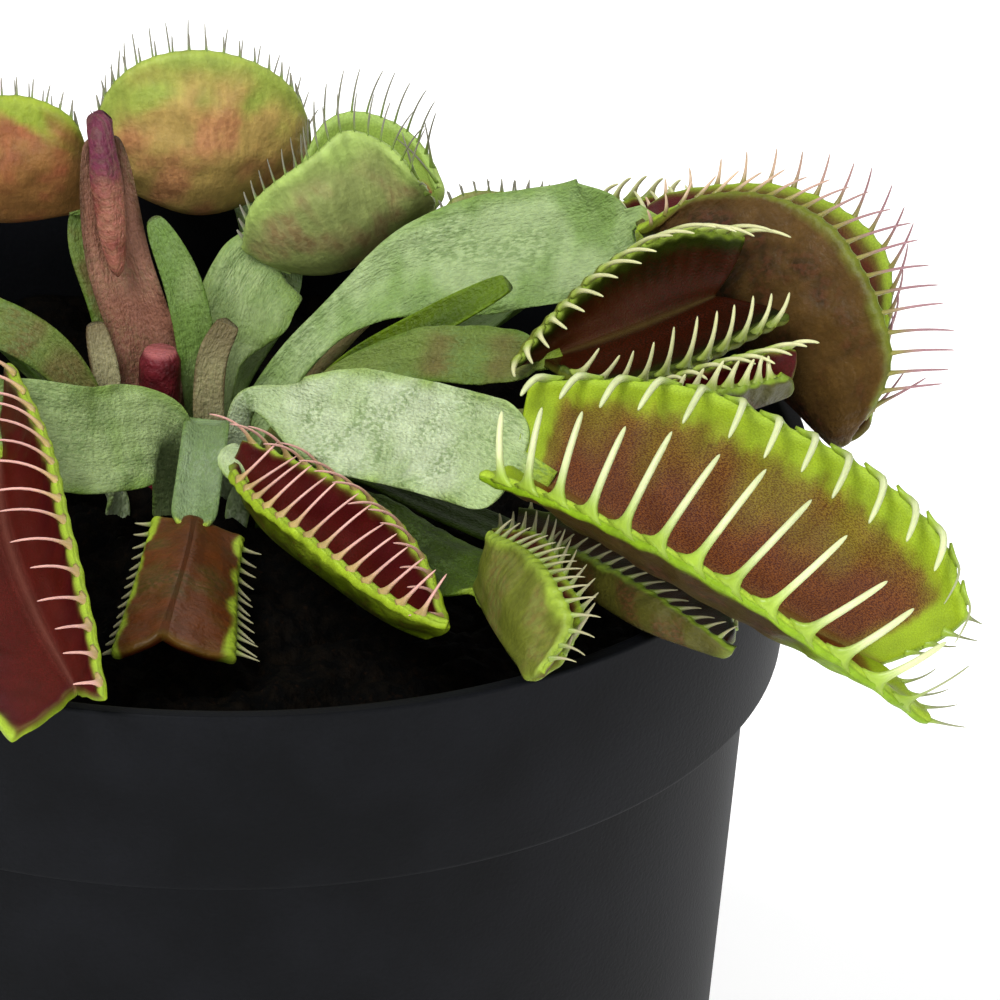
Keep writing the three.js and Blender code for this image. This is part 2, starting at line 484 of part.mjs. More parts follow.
// The two lobes' surfaces: each a function of s along the trap and v from midrib to margin.
function trapSurfaces(trap) {
  const rib = curveThrough(trap.rib);
  const margins = trap.lobes.map(curveThrough);
  const middle = rib.getPointAt(0.5);
  const mouth = new THREE.Vector3();
  for (const margin of margins) mouth.add(margin.getPointAt(0.5).sub(middle).normalize());
  const along = rib.getTangentAt(0.5);
  mouth.addScaledVector(along, -mouth.dot(along)).normalize();
  const left = new THREE.Vector3().crossVectors(mouth, along);
  return margins.map((margin, i) => {
    const hand = margin.getPointAt(0.5).sub(middle).dot(left) > 0 ? 1 : -1;
    const belly = trap.bulge[i];
    const point = (s, v) => {
      const from = rib.getPointAt(s);
      const across = margin.getPointAt(s).sub(from);
      const run = rib.getTangentAt(s).add(margin.getTangentAt(s));
      const inward = new THREE.Vector3().crossVectors(run, across).normalize().multiplyScalar(hand);
      const swell = belly * Math.sin(Math.PI * v ** 0.8) * Math.sin(Math.PI * s) ** 0.6;
      return from.addScaledVector(across, v).addScaledVector(inward, -swell);
    };
    const normal = (s, v) => {
      const step = 0.01;
      const a = point(Math.min(1, s + step), v).sub(point(Math.max(0, s - step), v));
      const b = point(s, Math.min(1, v + step)).sub(point(s, Math.max(0, v - step)));
      return new THREE.Vector3().crossVectors(a, b).normalize().multiplyScalar(hand);
    };
    return { hand, point, normal, tooth: trap.tooth[i], curl: trap.curl[i], lean: trap.lean[i],
      teeth: trap.teeth[i] };
  });
}

const BENT_TOOTH_RISE = 0.6; // how much a bent tooth first stands up
const BENT_TOOTH_HALF = 0.32; // half its width at the bend
const LOBE_STATIONS = 8;
const LOBE_ROWS = [0.25, 0.62]; // shares of the lobe's depth between the midrib and the margin

// Joins two rows of points that run the same way, each a list of [position, index].
function zipRows(rowA, rowB, emit) {
  let i = 0;
  let j = 0;
  while (i < rowA.length - 1 || j < rowB.length - 1) {
    const nextA = i < rowA.length - 1 ? rowA[i + 1][0] : Infinity;
    const nextB = j < rowB.length - 1 ? rowB[j + 1][0] : Infinity;
    if (nextA <= nextB) {
      emit(rowA[i][1], rowA[i + 1][1], rowB[j][1]);
      i += 1;
    } else {
      emit(rowA[i][1], rowB[j + 1][1], rowB[j][1]);
      j += 1;
    }
  }
}

// A tooth leaves the margin outwards and bends in over the mouth. A slanting one is a plain spike up
// to its tip. One that bends back over the lobe also has a ring of four corners at its bend.
function toothShape(lobe, s) {
  const root = lobe.point(s, 1);
  const outward = root.clone().sub(lobe.point(s, 0.85)).normalize();
  const inward = lobe.normal(s, 1);
  const tangent = lobe.point(Math.min(1, s + 0.02), 1).sub(lobe.point(Math.max(0, s - 0.02), 1)).normalize();
  const bend = radians(lobe.curl);
  const way = outward.clone().multiplyScalar(Math.cos(bend)).addScaledVector(inward, Math.sin(bend));
  const [leanStart, leanEnd] = lobe.lean;
  way.addScaledVector(tangent, leanStart + (leanEnd - leanStart) * s).normalize();
  const [first, middle, last] = lobe.tooth;
  const length = s < 0.5 ? first + (middle - first) * 2 * s : middle + (last - middle) * (2 * s - 1);
  const tip = root.clone().addScaledVector(way, length);
  if (lobe.curl <= 90) return { tip };
  const knee = outward.clone().multiplyScalar(BENT_TOOTH_RISE).add(way).normalize();
  const centre = root.clone().addScaledVector(knee, 0.23 * length).addScaledVector(way, 0.12 * length);
  const deep = inward.clone().multiplyScalar(Math.cos(bend / 2));
  deep.addScaledVector(outward, -Math.sin(bend / 2));
  const corner = (along, up) => {
    const place = centre.clone().addScaledVector(tangent, along * BENT_TOOTH_HALF);
    return place.addScaledVector(deep, up * BENT_TOOTH_HALF);
  };
  return { tip, ring: [corner(-1, 1), corner(1, 1), corner(1, -1), corner(-1, -1)] };
}

// Both lobes as one bent sheet, with a row of teeth raised from each margin.
function trapGeometry(trap) {
  const lobes = trapSurfaces(trap);
  const vertices = [];
  const faces = [];
  const addPair = (point, normal, inner, outer) => {
    vertices.push(point.clone().addScaledVector(normal, inner));
    vertices.push(point.clone().addScaledVector(normal, -outer));
    return vertices.length - 2; // the inner face's vertex; the outer one follows it
  };
  const stations = Array.from({ length: LOBE_STATIONS }, (_, i) => i / (LOBE_STATIONS - 1));
  const rib = curveThrough(trap.rib);
  const midrib = stations.map((s) => {
    const foot = rib.getPointAt(s);
    const along = rib.getTangentAt(s);
    const ways = lobes.map((lobe) => {
      const way = lobe.point(s, 0.2).sub(foot);
      return way.addScaledVector(along, -way.dot(along)).normalize();
    });
    const mouth = ways[0].clone().add(ways[1]).normalize();
    const tight = Math.sqrt(Math.max(0.06, (1 - ways[0].dot(ways[1])) / 2)); // sine of the half-angle
    return [s, addPair(foot, mouth, Math.min(1.6, LOBE_RIB / 2 / tight), LOBE_RIB / 2)];
  });
  for (const lobe of lobes) {
    const { hand } = lobe;
    const emitBoth = (a, b, c) => {
      const [p, q, r] = hand > 0 ? [a, b, c] : [a, c, b];
      faces.push([p, q, r], [p + 1, r + 1, q + 1]);
    };
    const rows = [midrib];
    for (const v of LOBE_ROWS) {
      const thick = (LOBE_RIB + (LOBE_EDGE - LOBE_RIB) * v) / 2;
      rows.push(stations.map((s) => [s, addPair(lobe.point(s, v), lobe.normal(s, v), thick, thick)]));
    }
    const pitch = 1 / lobe.teeth;
    const shift = hand > 0 ? 0.5 : 0.9; // the two rows of teeth stand between each other
    const marks = [[0, false]];
    for (let k = 0; k < lobe.teeth - (hand > 0 ? 0 : 1); k += 1) {
      const middle = (k + shift) * pitch;
      marks.push([middle - (TOOTH_FOOT * pitch) / 2, true], [middle + (TOOTH_FOOT * pitch) / 2, false]);
    }
    marks.push([1, false]);
    const margin = marks.map(([s]) => {
      const place = lobe.point(s, 1);
      return [s, addPair(place, lobe.normal(s, 1), LOBE_EDGE / 2, LOBE_EDGE / 2)];
    });
    rows.push(margin);
    for (let k = 0; k < rows.length - 1; k += 1) zipRows(rows[k], rows[k + 1], emitBoth);
    // The margin's edge: plain between the teeth, and a four-sided spike on each tooth's foot.
    for (let i = 0; i < margin.length - 1; i += 1) {
      const [a, b] = [margin[i][1], margin[i + 1][1]];
      const quad = hand > 0 ? [a, b, b + 1, a + 1] : [b, a, a + 1, b + 1];
      if (marks[i][1]) {
        const { tip, ring } = toothShape(lobe, (margin[i][0] + margin[i + 1][0]) / 2);
        let base = quad;
        if (ring) {
          const first = vertices.length;
          vertices.push(...(hand > 0 ? ring : [ring[1], ring[0], ring[3], ring[2]]));
          base = quad.map((_, k) => first + k);
          quad.forEach((corner, k) => {
            const next = (k + 1) % 4;
            faces.push([corner, quad[next], base[next]], [corner, base[next], base[k]]);
          });
        }
        vertices.push(tip);
        base.forEach((corner, k) => faces.push([corner, base[(k + 1) % 4], vertices.length - 1]));
      } else {
        faces.push([quad[0], quad[1], quad[2]], [quad[0], quad[2], quad[3]]);
      }
    }
    // The two short edges of the lobe, at the stalk and at the tip.
    for (const end of [0, 1]) {
      const edge = rows.map((row) => row[end ? row.length - 1 : 0][1]);
      for (let i = 0; i < edge.length - 1; i += 1) {
        const [a, b] = [edge[i], edge[i + 1]];
        const turn = (end === 1) === (hand > 0);
        faces.push(turn ? [a, b + 1, b] : [a, b, b + 1], turn ? [a, a + 1, b + 1] : [a, b + 1, a + 1]);
      }
    }
  }
  return closedGeometry(vertices, faces);
}

// ---------------------------------------------------------------- bud of the youngest leaf
// The unopened trap lies folded down along the front of its stalk: a slim closed spindle, joined
// to the stalk's top by a short bend.
function budSolid(path, { top, bottom, radius }) {
  const from = vector(top);
  const axis = vector(bottom).sub(from);
  const outline = [[0, 0], [0.75, 0], [0.95, 0.08], [1, 0.3], [0.95, 0.6], [0.6, 0.88], [0, 1]];
  const spindle = new THREE.LatheGeometry(
    outline.map(([r, h]) => new THREE.Vector2(r * radius, h * axis.length())),
    8,
  );
  const down = axis.clone().normalize();
  spindle.applyQuaternion(new THREE.Quaternion().setFromUnitVectors(new THREE.Vector3(0, 1, 0), down));
  spindle.translate(from.x, from.y, from.z);
  const end = vector(path[path.length - 1]);
  const bend = new THREE.BoxGeometry(radius * 1.3, Math.abs(end.y - from.y) + radius, radius * 1.1);
  bend.translate((end.x + from.x) / 2, (end.y + from.y) / 2, end.z - radius * 0.5);
  return solid(spindle).add(solid(bend));
}

// The largest body of a join. Where two sheets cross at a corner, a speck can come off.
function withoutSpecks(made) {
  const smooth = made.simplify(JOIN_TOLERANCE);
  return smooth.decompose().reduce((best, body) => (body.volume() > best.volume() ? body : best));
}

function leafSolid(leaf) {
  const stalk = solid(stalkGeometry(leaf));
  if (leaf.trap) return withoutSpecks(stalk.add(solid(trapGeometry(leaf.trap))));
  return leaf.bud ? stalk.add(budSolid(leaf.path, leaf.bud)) : stalk;
}

// ---------------------------------------------------------------- pot, peat, rhizome and stump
function latheZ(profile, sides) {
  const lathe = new THREE.LatheGeometry(profile.map(([r, z]) => new THREE.Vector2(r, z)), sides);
  return lathe.rotateX(Math.PI / 2);
}

const bandRadius = RIM_RADIUS - BAND_DRAFT;
const bandFoot = POT_HEIGHT - BAND_HEIGHT;
const bodyTop = bandRadius - BAND_STEP;
const footRadius = bodyTop - bandFoot * BODY_TAPER;
const floorTop = WALL + 0.4;
const bandInside = RIM_RADIUS - WALL - BAND_DRAFT;

function potSolid() {
  const profile = [
    [0, 0],
    [footRadius - 1, 0],
    [footRadius, 1],
    [bodyTop, bandFoot],
    [bandRadius, bandFoot],
    [RIM_RADIUS, POT_HEIGHT - 0.5],
    [RIM_RADIUS - 0.4, POT_HEIGHT],
    [RIM_RADIUS - WALL + 0.2, POT_HEIGHT],
    [bandInside, bandFoot + WALL + 2],
    [bodyTop - WALL, bandFoot],
    [footRadius - WALL, floorTop],
    [0, floorTop],
  ];
  let pot = solid(latheZ(profile, POT_SIDES));
  for (let i = 0; i < DRAIN_HOLES; i += 1) {
    const angle = (2 * Math.PI * (i + 0.5)) / DRAIN_HOLES;
    const drill = new THREE.CylinderGeometry(DRAIN_RADIUS, DRAIN_RADIUS, 6, 10);
    drill.rotateX(Math.PI / 2);
    drill.translate(DRAIN_CIRCLE * Math.cos(angle), DRAIN_CIRCLE * Math.sin(angle), 1);
    pot = pot.subtract(solid(drill));
  }
  return pot;
}

// Height of the peat's lumpy surface.
function soilHeight(x, y) {
  const lumps = Math.sin(x * 0.71 + 1.3) * Math.cos(y * 0.63 - 0.4);
  const waves = Math.sin(x * 0.33 - y * 0.41 + 2.1);
  return SOIL_LEVEL + SOIL_LUMP * (lumps + 0.6 * waves);
}

function soilSolid(holes) {
  const sides = 24;
  const slack = GAP + 0.4; // the pot's sides are flats, so its wall stands a little inside its radius
  const rings = [
    [footRadius - WALL - slack, floorTop + GAP],
    [bodyTop - WALL - slack, bandFoot - 1],
    [bandInside - slack, bandFoot + WALL + 3],
    [bandInside - slack, null],
    ...SOIL_RINGS.map((r) => [r, null]).reverse(),
  ];
  const vertices = [new THREE.Vector3(0, 0, floorTop + GAP)];
  for (const [radius, height] of rings) {
    for (let i = 0; i < sides; i += 1) {
      const angle = (2 * Math.PI * i) / sides;
      const x = radius * Math.cos(angle);
      const y = radius * Math.sin(angle);
      vertices.push(new THREE.Vector3(x, y, height ?? soilHeight(x, y)));
    }
  }
  vertices.push(new THREE.Vector3(0, 0, soilHeight(0, 0)));
  const faces = [];
  const at = (ring, i) => 1 + ring * sides + (i % sides);
  for (let i = 0; i < sides; i += 1) {
    faces.push([0, at(0, i + 1), at(0, i)]);
    for (let ring = 0; ring < rings.length - 1; ring += 1) {
      faces.push([at(ring, i), at(ring, i + 1), at(ring + 1, i)]);
      faces.push([at(ring, i + 1), at(ring + 1, i + 1), at(ring + 1, i)]);
    }
    faces.push([at(rings.length - 1, i), at(rings.length - 1, i + 1), vertices.length - 1]);
  }
  return holes.reduce((soil, hole) => soil.subtract(hole), solid(closedGeometry(vertices, faces)));
}

// The cut flower stalk: a plain round stump.
function stumpGeometry(swell = 0) {
  const { foot, height, radius } = STUMP;
  const stump = new THREE.CylinderGeometry(radius + swell, radius + swell, height + 2 * swell, 12);
  stump.rotateX(Math.PI / 2);
  stump.translate(foot[0], foot[1], foot[2] + height / 2);
  return stump;
}

// The buried rhizome that the leaves grow round.
function rhizomeGeometry() {
  const profile = [[0, 40], [2.2, 42], [3.4, 47], [3.6, 52], [2.6, 57], [1.2, 59.2], [0, 59.4]];
  const body = latheZ(profile, 12);
  body.translate(...RHIZOME_AXIS, 0);
  return body;
}

// The room that the rhizome and the feet of all the leaves take in the peat. The leaves' feet
// reach down into it, so it is one open hollow and no part of the peat is closed off.
function rootRoom() {
  const profile = [[0, 39.7], [2.4, 41.7], [3.7, 47], [3.9, 52], [3, 57.4], [1.5, 59.7], [0, 60.2]];
  const room = latheZ(profile, 12);
  room.translate(...RHIZOME_AXIS, 0);
  const neck = new THREE.BoxGeometry(1.2, 1.2, 12);
  neck.translate(...RHIZOME_AXIS, 64.5);
  return [solid(room), solid(neck)];
}

const plant = new THREE.Group();
plant.name = "potted_venus_flytrap";

function addPiece(name, made, look) {
  const material = new THREE.MeshStandardMaterial({ metalness: 0, ...look });
  const mesh = new THREE.Mesh(geometryOf(made), material);
  mesh.name = name;
  plant.add(mesh);
}

addPiece("pot", potSolid(), BLACK_PLASTIC);
const footHoles = LEAVES.map((leaf) => solid(stalkGeometry(leaf, GAP)));
addPiece("soil", soilSolid([...footHoles, solid(stumpGeometry(GAP)), ...rootRoom()]), PEAT);
addPiece("rhizome", solid(rhizomeGeometry()), RHIZOME);
addPiece("flower_stalk_stump", solid(stumpGeometry()), SCAPE_RED);
for (const leaf of LEAVES) addPiece(leaf.name, leafSolid(leaf), leaf.look);

export default plant;
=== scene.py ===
# A Venus flytrap in a round black nursery pot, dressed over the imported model.
# The plant is worked out in millimetres, in the model's frame: Z up, the photo taken along +Y. Each
# leaf follows the same curves as the model's leaf, as a fine skin of stalk, lobes and teeth.
import json
import math

import bpy
import numpy as np
from mathutils import Matrix, Vector


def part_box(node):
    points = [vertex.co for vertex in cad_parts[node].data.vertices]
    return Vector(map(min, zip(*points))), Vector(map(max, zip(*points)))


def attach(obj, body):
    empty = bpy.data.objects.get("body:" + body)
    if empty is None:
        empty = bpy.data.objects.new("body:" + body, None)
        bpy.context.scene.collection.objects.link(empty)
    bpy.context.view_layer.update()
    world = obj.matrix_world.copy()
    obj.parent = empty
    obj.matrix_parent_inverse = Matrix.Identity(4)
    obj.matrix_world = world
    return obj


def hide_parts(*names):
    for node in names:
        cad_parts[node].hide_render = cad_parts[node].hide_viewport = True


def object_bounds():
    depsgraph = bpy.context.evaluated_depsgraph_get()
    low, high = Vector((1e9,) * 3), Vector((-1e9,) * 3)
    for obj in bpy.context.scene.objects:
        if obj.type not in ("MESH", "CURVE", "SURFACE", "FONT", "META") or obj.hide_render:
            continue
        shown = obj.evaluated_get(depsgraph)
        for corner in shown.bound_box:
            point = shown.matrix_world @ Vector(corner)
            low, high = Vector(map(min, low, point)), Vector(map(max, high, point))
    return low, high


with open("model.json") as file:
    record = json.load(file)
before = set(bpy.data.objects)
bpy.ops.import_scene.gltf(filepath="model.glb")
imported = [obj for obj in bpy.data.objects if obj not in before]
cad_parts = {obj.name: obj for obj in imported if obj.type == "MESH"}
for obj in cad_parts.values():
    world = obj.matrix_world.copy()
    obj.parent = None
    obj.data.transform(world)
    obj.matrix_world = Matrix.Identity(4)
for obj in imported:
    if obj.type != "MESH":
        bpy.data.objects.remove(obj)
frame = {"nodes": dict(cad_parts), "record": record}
model_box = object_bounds()
scene = bpy.context.scene
scene.view_settings.view_transform = "Standard"

MM = 0.001  # the plant's millimetres in the frame's metres


# ---------------------------------------------------------------- camera
# The photo is taken from in front and above, along the line that puts the rim's ellipse in place.
CAMERA_PLACE = (0, -0.45, 0.29481)
CAMERA_LENS = 254.33
CAMERA_PAN = math.radians(2.633)
CAMERA_PITCH = math.radians(26.515)
CAMERA_ROLL = math.radians(2.184)


def make_camera():
    data = bpy.data.cameras.new("camera")
    data.lens = CAMERA_LENS
    data.sensor_width = 36
    data.clip_start = 0.01
    camera = bpy.data.objects.new("camera", data)
    ahead = math.cos(CAMERA_PITCH)
    forward = Vector((math.sin(CAMERA_PAN) * ahead, math.cos(CAMERA_PAN) * ahead, -math.sin(CAMERA_PITCH)))
    level = forward.cross(Vector((0, 0, 1))).normalized()
    above = level.cross(forward)
    right = level * math.cos(CAMERA_ROLL) + above * math.sin(CAMERA_ROLL)
    up = above * math.cos(CAMERA_ROLL) - level * math.sin(CAMERA_ROLL)
    turn = Matrix((right, up, -forward)).transposed().to_4x4()
    camera.matrix_world = Matrix.Translation(CAMERA_PLACE) @ turn
    scene.collection.objects.link(camera)
    scene.camera = camera


# ---------------------------------------------------------------- the leaves, in millimetres
MARGIN_POINTS = 7  # of a regular trap's margin
MARGIN_SPAN = 1.2  # how long that margin runs, as a share of the midrib
MARGIN_ENDS = 0.35  # how deep a lobe is at its ends, as a share of its middle
END_CLOSING = 5  # how many degrees less a regular trap opens at its ends


def unit(v):
    """v, or each of several vectors, at length 1."""
    return v / np.maximum(np.linalg.norm(v, axis=-1, keepdims=True), 1e-9)


def plain_trap(start, tip, mouth, lobe, spread, sag, bulge, teeth, tooth, curl):
    """The curves of a regular trap. start, tip: of its midrib. mouth: the way its mouth looks.
    lobe: how deep its lobes are. spread: how many degrees each lobe opens. sag: how far it hangs."""
    start = np.array(start, float)
    run = np.array(tip, float) - start
    length = np.linalg.norm(run)
    x = run / length
    z = np.array(mouth, float)
    z = unit(z - x * (z @ x))
    y = np.cross(z, x)

    def place(along, across, up):
        return start + x * along + y * across + z * up

    def margin(hand):
        points = []
        for i in range(MARGIN_POINTS):
            turn = math.pi * i / (MARGIN_POINTS - 1)
            along = length / 2 * (1 - MARGIN_SPAN * math.cos(turn))
            depth = lobe * (MARGIN_ENDS + (1 - MARGIN_ENDS) * math.sin(turn))
            half = math.radians(spread[0 if hand > 0 else 1] - END_CLOSING * (1 - math.sin(turn)))
            height = depth * math.cos(half) - sag * math.sin(turn)
            points.append(place(along, hand * depth * math.sin(half), height))
        return points

    return {
        "rib": [place(0, 0, 0), place(length / 2, 0, -sag), place(length, 0, 0)],
        "lobes": [margin(1), margin(-1)],
        "bulge": [bulge] * 2, "teeth": [teeth] * 2, "curl": [curl] * 2, "lean": [[-0.15, 0.35]] * 2,
        "tooth": [[tooth * 0.5, tooth, tooth * 0.5]] * 2,
    }


LEAVES = []


def plan_leaf(name, path, width, up, grow=(0.2, 0.6), shoulder=(0.86, 0.97), fold=8, **more):
    """Adds a leaf to the plan.
    path: the stalk's midrib, from its foot in the peat to the trap. width: at the foot, at its widest
    and at the neck. up: the way its upper face looks. grow: where along it (0 to 1) it widens.
    shoulder: where it narrows to the neck. fold: how far its wings rise, in degrees.
    trap: its midrib (rib) and the margins of its two lobes, as curves through points from the stalk to
    the tip. bulge: how far each lobe bellies out. teeth: how many each margin has. tooth: their length
    at the stalk, in the middle and at the tip. curl: how far they bend in over the mouth, in degrees.
    lean: how much they slant towards the tip, at the stalk and at the tip.
    bud: the ends and the radius of an unopened trap."""
    LEAVES.append(
        dict(name=name, path=path, width=width, up=up, grow=grow, shoulder=shoulder, fold=fold, **more)
    )


plan_leaf(
    "leaf_front_right", width=[1.8, 7.8, 2.4], grow=[0.34, 0.58], shoulder=[0.9, 0.95],
    up=[-0.02, -0.88, 0.48], fold=6,
    path=[[1.6, 3.8, 61], [1.7, 3.4, 70], [2.6, 1, 77], [6.4, -4, 78.6], [13, -12, 81.2],
        [20.5, -22.5, 83.9]],
    trap=dict(
        bulge=[1.2, 1.2], teeth=[14, 14], lean=[[-0.6, 1.2], [-0.4, 0.65]],
        tooth=[[3, 5.6, 4.2], [4.6, 8.6, 4.6]], curl=[124, 75],
        rib=[[20.5, -22.5, 83.9], [31, -28.6, 80.1], [44.9, -34.5, 75.6]],
        lobes=[
            [[21.5, -19.5, 89], [26, -20, 89.6], [33, -21.5, 89.7], [39.1, -23.5, 87.9], [44.8, -26.8, 86],
                [49.2, -30.5, 83], [50.8, -34, 79.2]],
            [[18, -26.5, 85], [22, -32, 86.5], [32.5, -41, 85.5], [43.5, -44.5, 79.5], [47.5, -42.5, 75.5]],
        ],
    ),
)
plan_leaf(
    "leaf_right_back", width=[2.8, 9, 1.8], grow=[0.4, 0.7], shoulder=[0.86, 0.93], up=[-0.1, -0.75, 0.6],
    fold=14,
    path=[[2.6, 10.2, 61], [2.8, 9.2, 70], [7.2, 9.4, 77.8], [13.5, 10.6, 82.2], [22, 11.3, 84.3],
        [27.5, 11, 85.6], [30.5, 10, 87.8]],
    trap=dict(
        bulge=[1.5, 2.2], teeth=[13, 17], lean=[[-0.15, 0.35], [-0.15, 0.35]],
        tooth=[[1, 4, 5], [0.8, 4.8, 4.5]], curl=[40, 40],
        rib=[[30.5, 10, 87.8], [34.5, 4.5, 84], [39.5, -0.5, 80.5], [44, -5.5, 78]],
        lobes=[
            [[31, 14.5, 86], [33, 17, 86.5], [41.5, 15.5, 88], [48, 7.5, 86.5], [46.5, -4, 79]],
            [[30, 5, 89], [34, 3.5, 92.5], [39, 0.5, 94], [43.5, -3.5, 93], [47, -9, 87],
                [46.5, -9.5, 83.5], [44.5, -7, 79]],
        ],
    ),
)
plan_leaf(
    "leaf_right", width=[1.8, 4.6, 1.6], grow=[0.4, 0.75], shoulder=[0.86, 0.95], up=[-0.05, -0.7, 0.7],
    fold=10,
    path=[[3.7, 6, 61], [4, 5.4, 70], [8, 3.4, 77], [14.5, 0.4, 81], [23, -7, 84.5]],
    trap=dict(
        bulge=[1, 1], teeth=[16, 12], lean=[[-0.3, 0.9], [0.25, 0.75]],
        tooth=[[1.5, 4.5, 4.5], [2.5, 4, 2.5]], curl=[60, 75],
        rib=[[23, -7, 84.5], [29, -5.2, 86], [35, -2.5, 87.5]],
        lobes=[
            [[20.5, -8.7, 84.6], [22, -8, 86.5], [24.5, -6.5, 89], [28, -4.5, 91.5], [32.5, -3, 93],
                [37, -1.5, 92]],
            [[24, -11, 85.5], [28, -13, 85.5], [33, -12.5, 87], [37, -10, 88], [40, -7, 88]],
        ],
    ),
)
plan_leaf(
    "leaf_small_right", width=[1.5, 3, 1.2], up=[0, -0.7, 0.7],
    path=[[7.6, 4.6, 61], [7.9, 3.9, 70], [11, -2, 75.6], [17.5, -8.5, 79.4], [28.5, -15.2, 83.8]],
    trap=dict(
        bulge=[0.5, 0.5], teeth=[10, 10], lean=[[0.45, 0.95], [0.45, 0.95]],
        tooth=[[2.4, 3.4, 2.5], [1.2, 2, 1.5]], curl=[80, 30],
        rib=[[28.5, -15.2, 83.8], [32.5, -15.6, 84.6], [36, -15, 85.2], [39.5, -13.6, 85.8]],
        lobes=[
            [[28.5, -14.6, 85], [30.5, -15, 86.8], [32.5, -15, 87.8], [35.5, -14.5, 88.6],
                [38, -13.2, 88.7], [39.8, -12.2, 88.4]],
            [[29, -16.6, 85.6], [31, -17.8, 87], [33, -18, 87.8], [36, -17.4, 88], [39, -15, 87.6]],
        ],
    ),
)
plan_leaf(
    "leaf_left_front", width=[2, 7.6, 2], grow=[0.3, 0.56], shoulder=[0.88, 0.98], up=[0.05, -0.85, 0.5],
    fold=6,
    path=[[-3.2, 3.2, 61], [-3.1, 2.7, 69.5], [-3.4, -0.2, 74.6], [-8.6, -5, 76.6], [-14.5, -9, 79]],
    trap=dict(
        bulge=[1, 1.2], teeth=[15, 14], lean=[[-0.1, 0.4], [-0.1, 0.4]], tooth=[[4, 5.5, 2.5], [4, 5.5, 3]],
        curl=[80, 80],
        rib=[[-14.5, -9, 79], [-14, -20, 78], [-11.5, -32.5, 77.5], [-8.5, -42.5, 77]],
        lobes=[
            [[-14, -6.5, 83.5], [-11, -18, 83], [-9.5, -29, 82.5], [-8, -36.5, 80.5], [-6.5, -45.5, 78]],
            [[-18.5, -8.5, 81.5], [-20.5, -21, 81.5], [-19.5, -33, 80], [-16.5, -43, 78],
                [-12.5, -49, 76.6]],
        ],
    ),
)
plan_leaf(
    "leaf_front", width=[1.8, 3.4, 1.4], grow=[0.3, 0.55], shoulder=[0.9, 0.98], up=[0, -0.6, 0.8], fold=16,
    path=[[-0.8, 1.6, 61], [-0.7, 1.4, 70], [-0.3, 0.4, 75], [-0.6, -4.5, 74.6], [-1.1, -11, 73.4]],
    trap=dict(
        bulge=[0.5, 0.5], teeth=[10, 10], lean=[[-0.05, 0.45], [-0.05, 0.45]],
        tooth=[[1.4, 1.4, 2], [1.2, 1, 0.8]], curl=[-10, -10],
        rib=[[-1.1, -11, 73.4], [-1.6, -17, 73.4], [-3, -27.5, 72.8]],
        lobes=[
            [[2.5, -11, 72], [2, -16, 71.2], [2, -22.5, 71], [2, -27, 71]],
            [[-4, -10, 73], [-4.5, -15, 72.5], [-5.5, -22, 72], [-6.5, -27.5, 71.5]],
        ],
    ),
)
plan_leaf(
    "leaf_front_low", width=[1.6, 2.4, 1.4], shoulder=[0.8, 0.96], up=[0, -0.6, 0.8], fold=6,
    path=[[1.5, 1, 61], [2.1, 0.2, 69], [3.4, -3.6, 74.4], [2.6, -6.6, 76.4], [1.6, -8.6, 77]],
    trap=dict(
        bulge=[0.5, 0.5], teeth=[15, 15], lean=[[-0.25, 0.25], [-0.25, 0.25]],
        tooth=[[4.5, 4.8, 3], [4, 4.8, 3]], curl=[75, 70],
        rib=[[1.6, -8.6, 77], [4, -14, 75.2], [8.5, -20, 74.2], [12.5, -26, 74.2], [15, -29, 74.5]],
        lobes=[
            [[2.5, -8, 78.5], [6, -12, 79], [9.5, -16.5, 79.5], [13, -21.5, 79], [15, -26.5, 78],
                [16, -31, 76]],
            [[1.5, -12.5, 78], [3.5, -18, 78.5], [7, -23.5, 78.5], [10.5, -28.5, 78], [14, -32, 77.5],
                [16, -32.5, 77]],
        ],
    ),
)
plan_leaf(
    "leaf_over_rim", width=[1.6, 5.6, 1.3], grow=[0.25, 0.6], up=[0.1, -0.6, 0.8], fold=4,
    path=[[3.9, 1.2, 61], [4.4, 0.4, 69], [8, -7.6, 73.3], [13, -15.5, 74.4], [18.5, -24.5, 75.6]],
    trap=dict(
        bulge=[0.5, 0.8], teeth=[12, 14], lean=[[-0.05, 0.45], [-0.05, 0.45]],
        tooth=[[1, 2, 1.2], [1.4, 2.4, 1.6]], curl=[20, 30],
        rib=[[18.5, -24.5, 75.6], [19.8, -32, 76.1], [21.5, -39, 76.8]],
        lobes=[
            [[19.5, -21, 78.5], [22.5, -25, 80], [24, -30, 79.5], [25, -33.5, 78.6], [23.5, -38, 77.6]],
            [[19, -24.5, 80], [21.5, -30.5, 81.5], [23, -36, 82], [24, -39, 80.5], [22, -40.5, 77.8]],
        ],
    ),
)
plan_leaf(
    "leaf_under_front_right", width=[1.6, 3.2, 1.2], grow=[0.25, 0.6], up=[0.1, -0.3, 0.95], fold=6,
    path=[[5.6, 3.6, 61], [6.4, 2.4, 69], [10.8, -3, 73.4], [16, -9.5, 74.2], [21, -16, 75]],
    trap=dict(
        bulge=[0.5, 0.6], teeth=[12, 15], lean=[[-0.05, 0.45], [-0.05, 0.45]],
        tooth=[[1, 1.5, 1.5], [1, 1.6, 1.6]], curl=[60, 40],
        rib=[[21, -16, 75], [25.5, -23.5, 75.6], [29.5, -31, 76.6], [34, -34.5, 76.6]],
        lobes=[
            [[21.5, -12, 75.4], [27, -15, 75.8], [32, -21, 75.8], [35.2, -27.5, 76], [35.4, -31.6, 76.2]],
            [[21, -19.5, 77], [24.5, -23.6, 78.4], [29, -29.6, 78.8], [33, -34, 78], [35, -35.6, 77.2]],
        ],
    ),
)
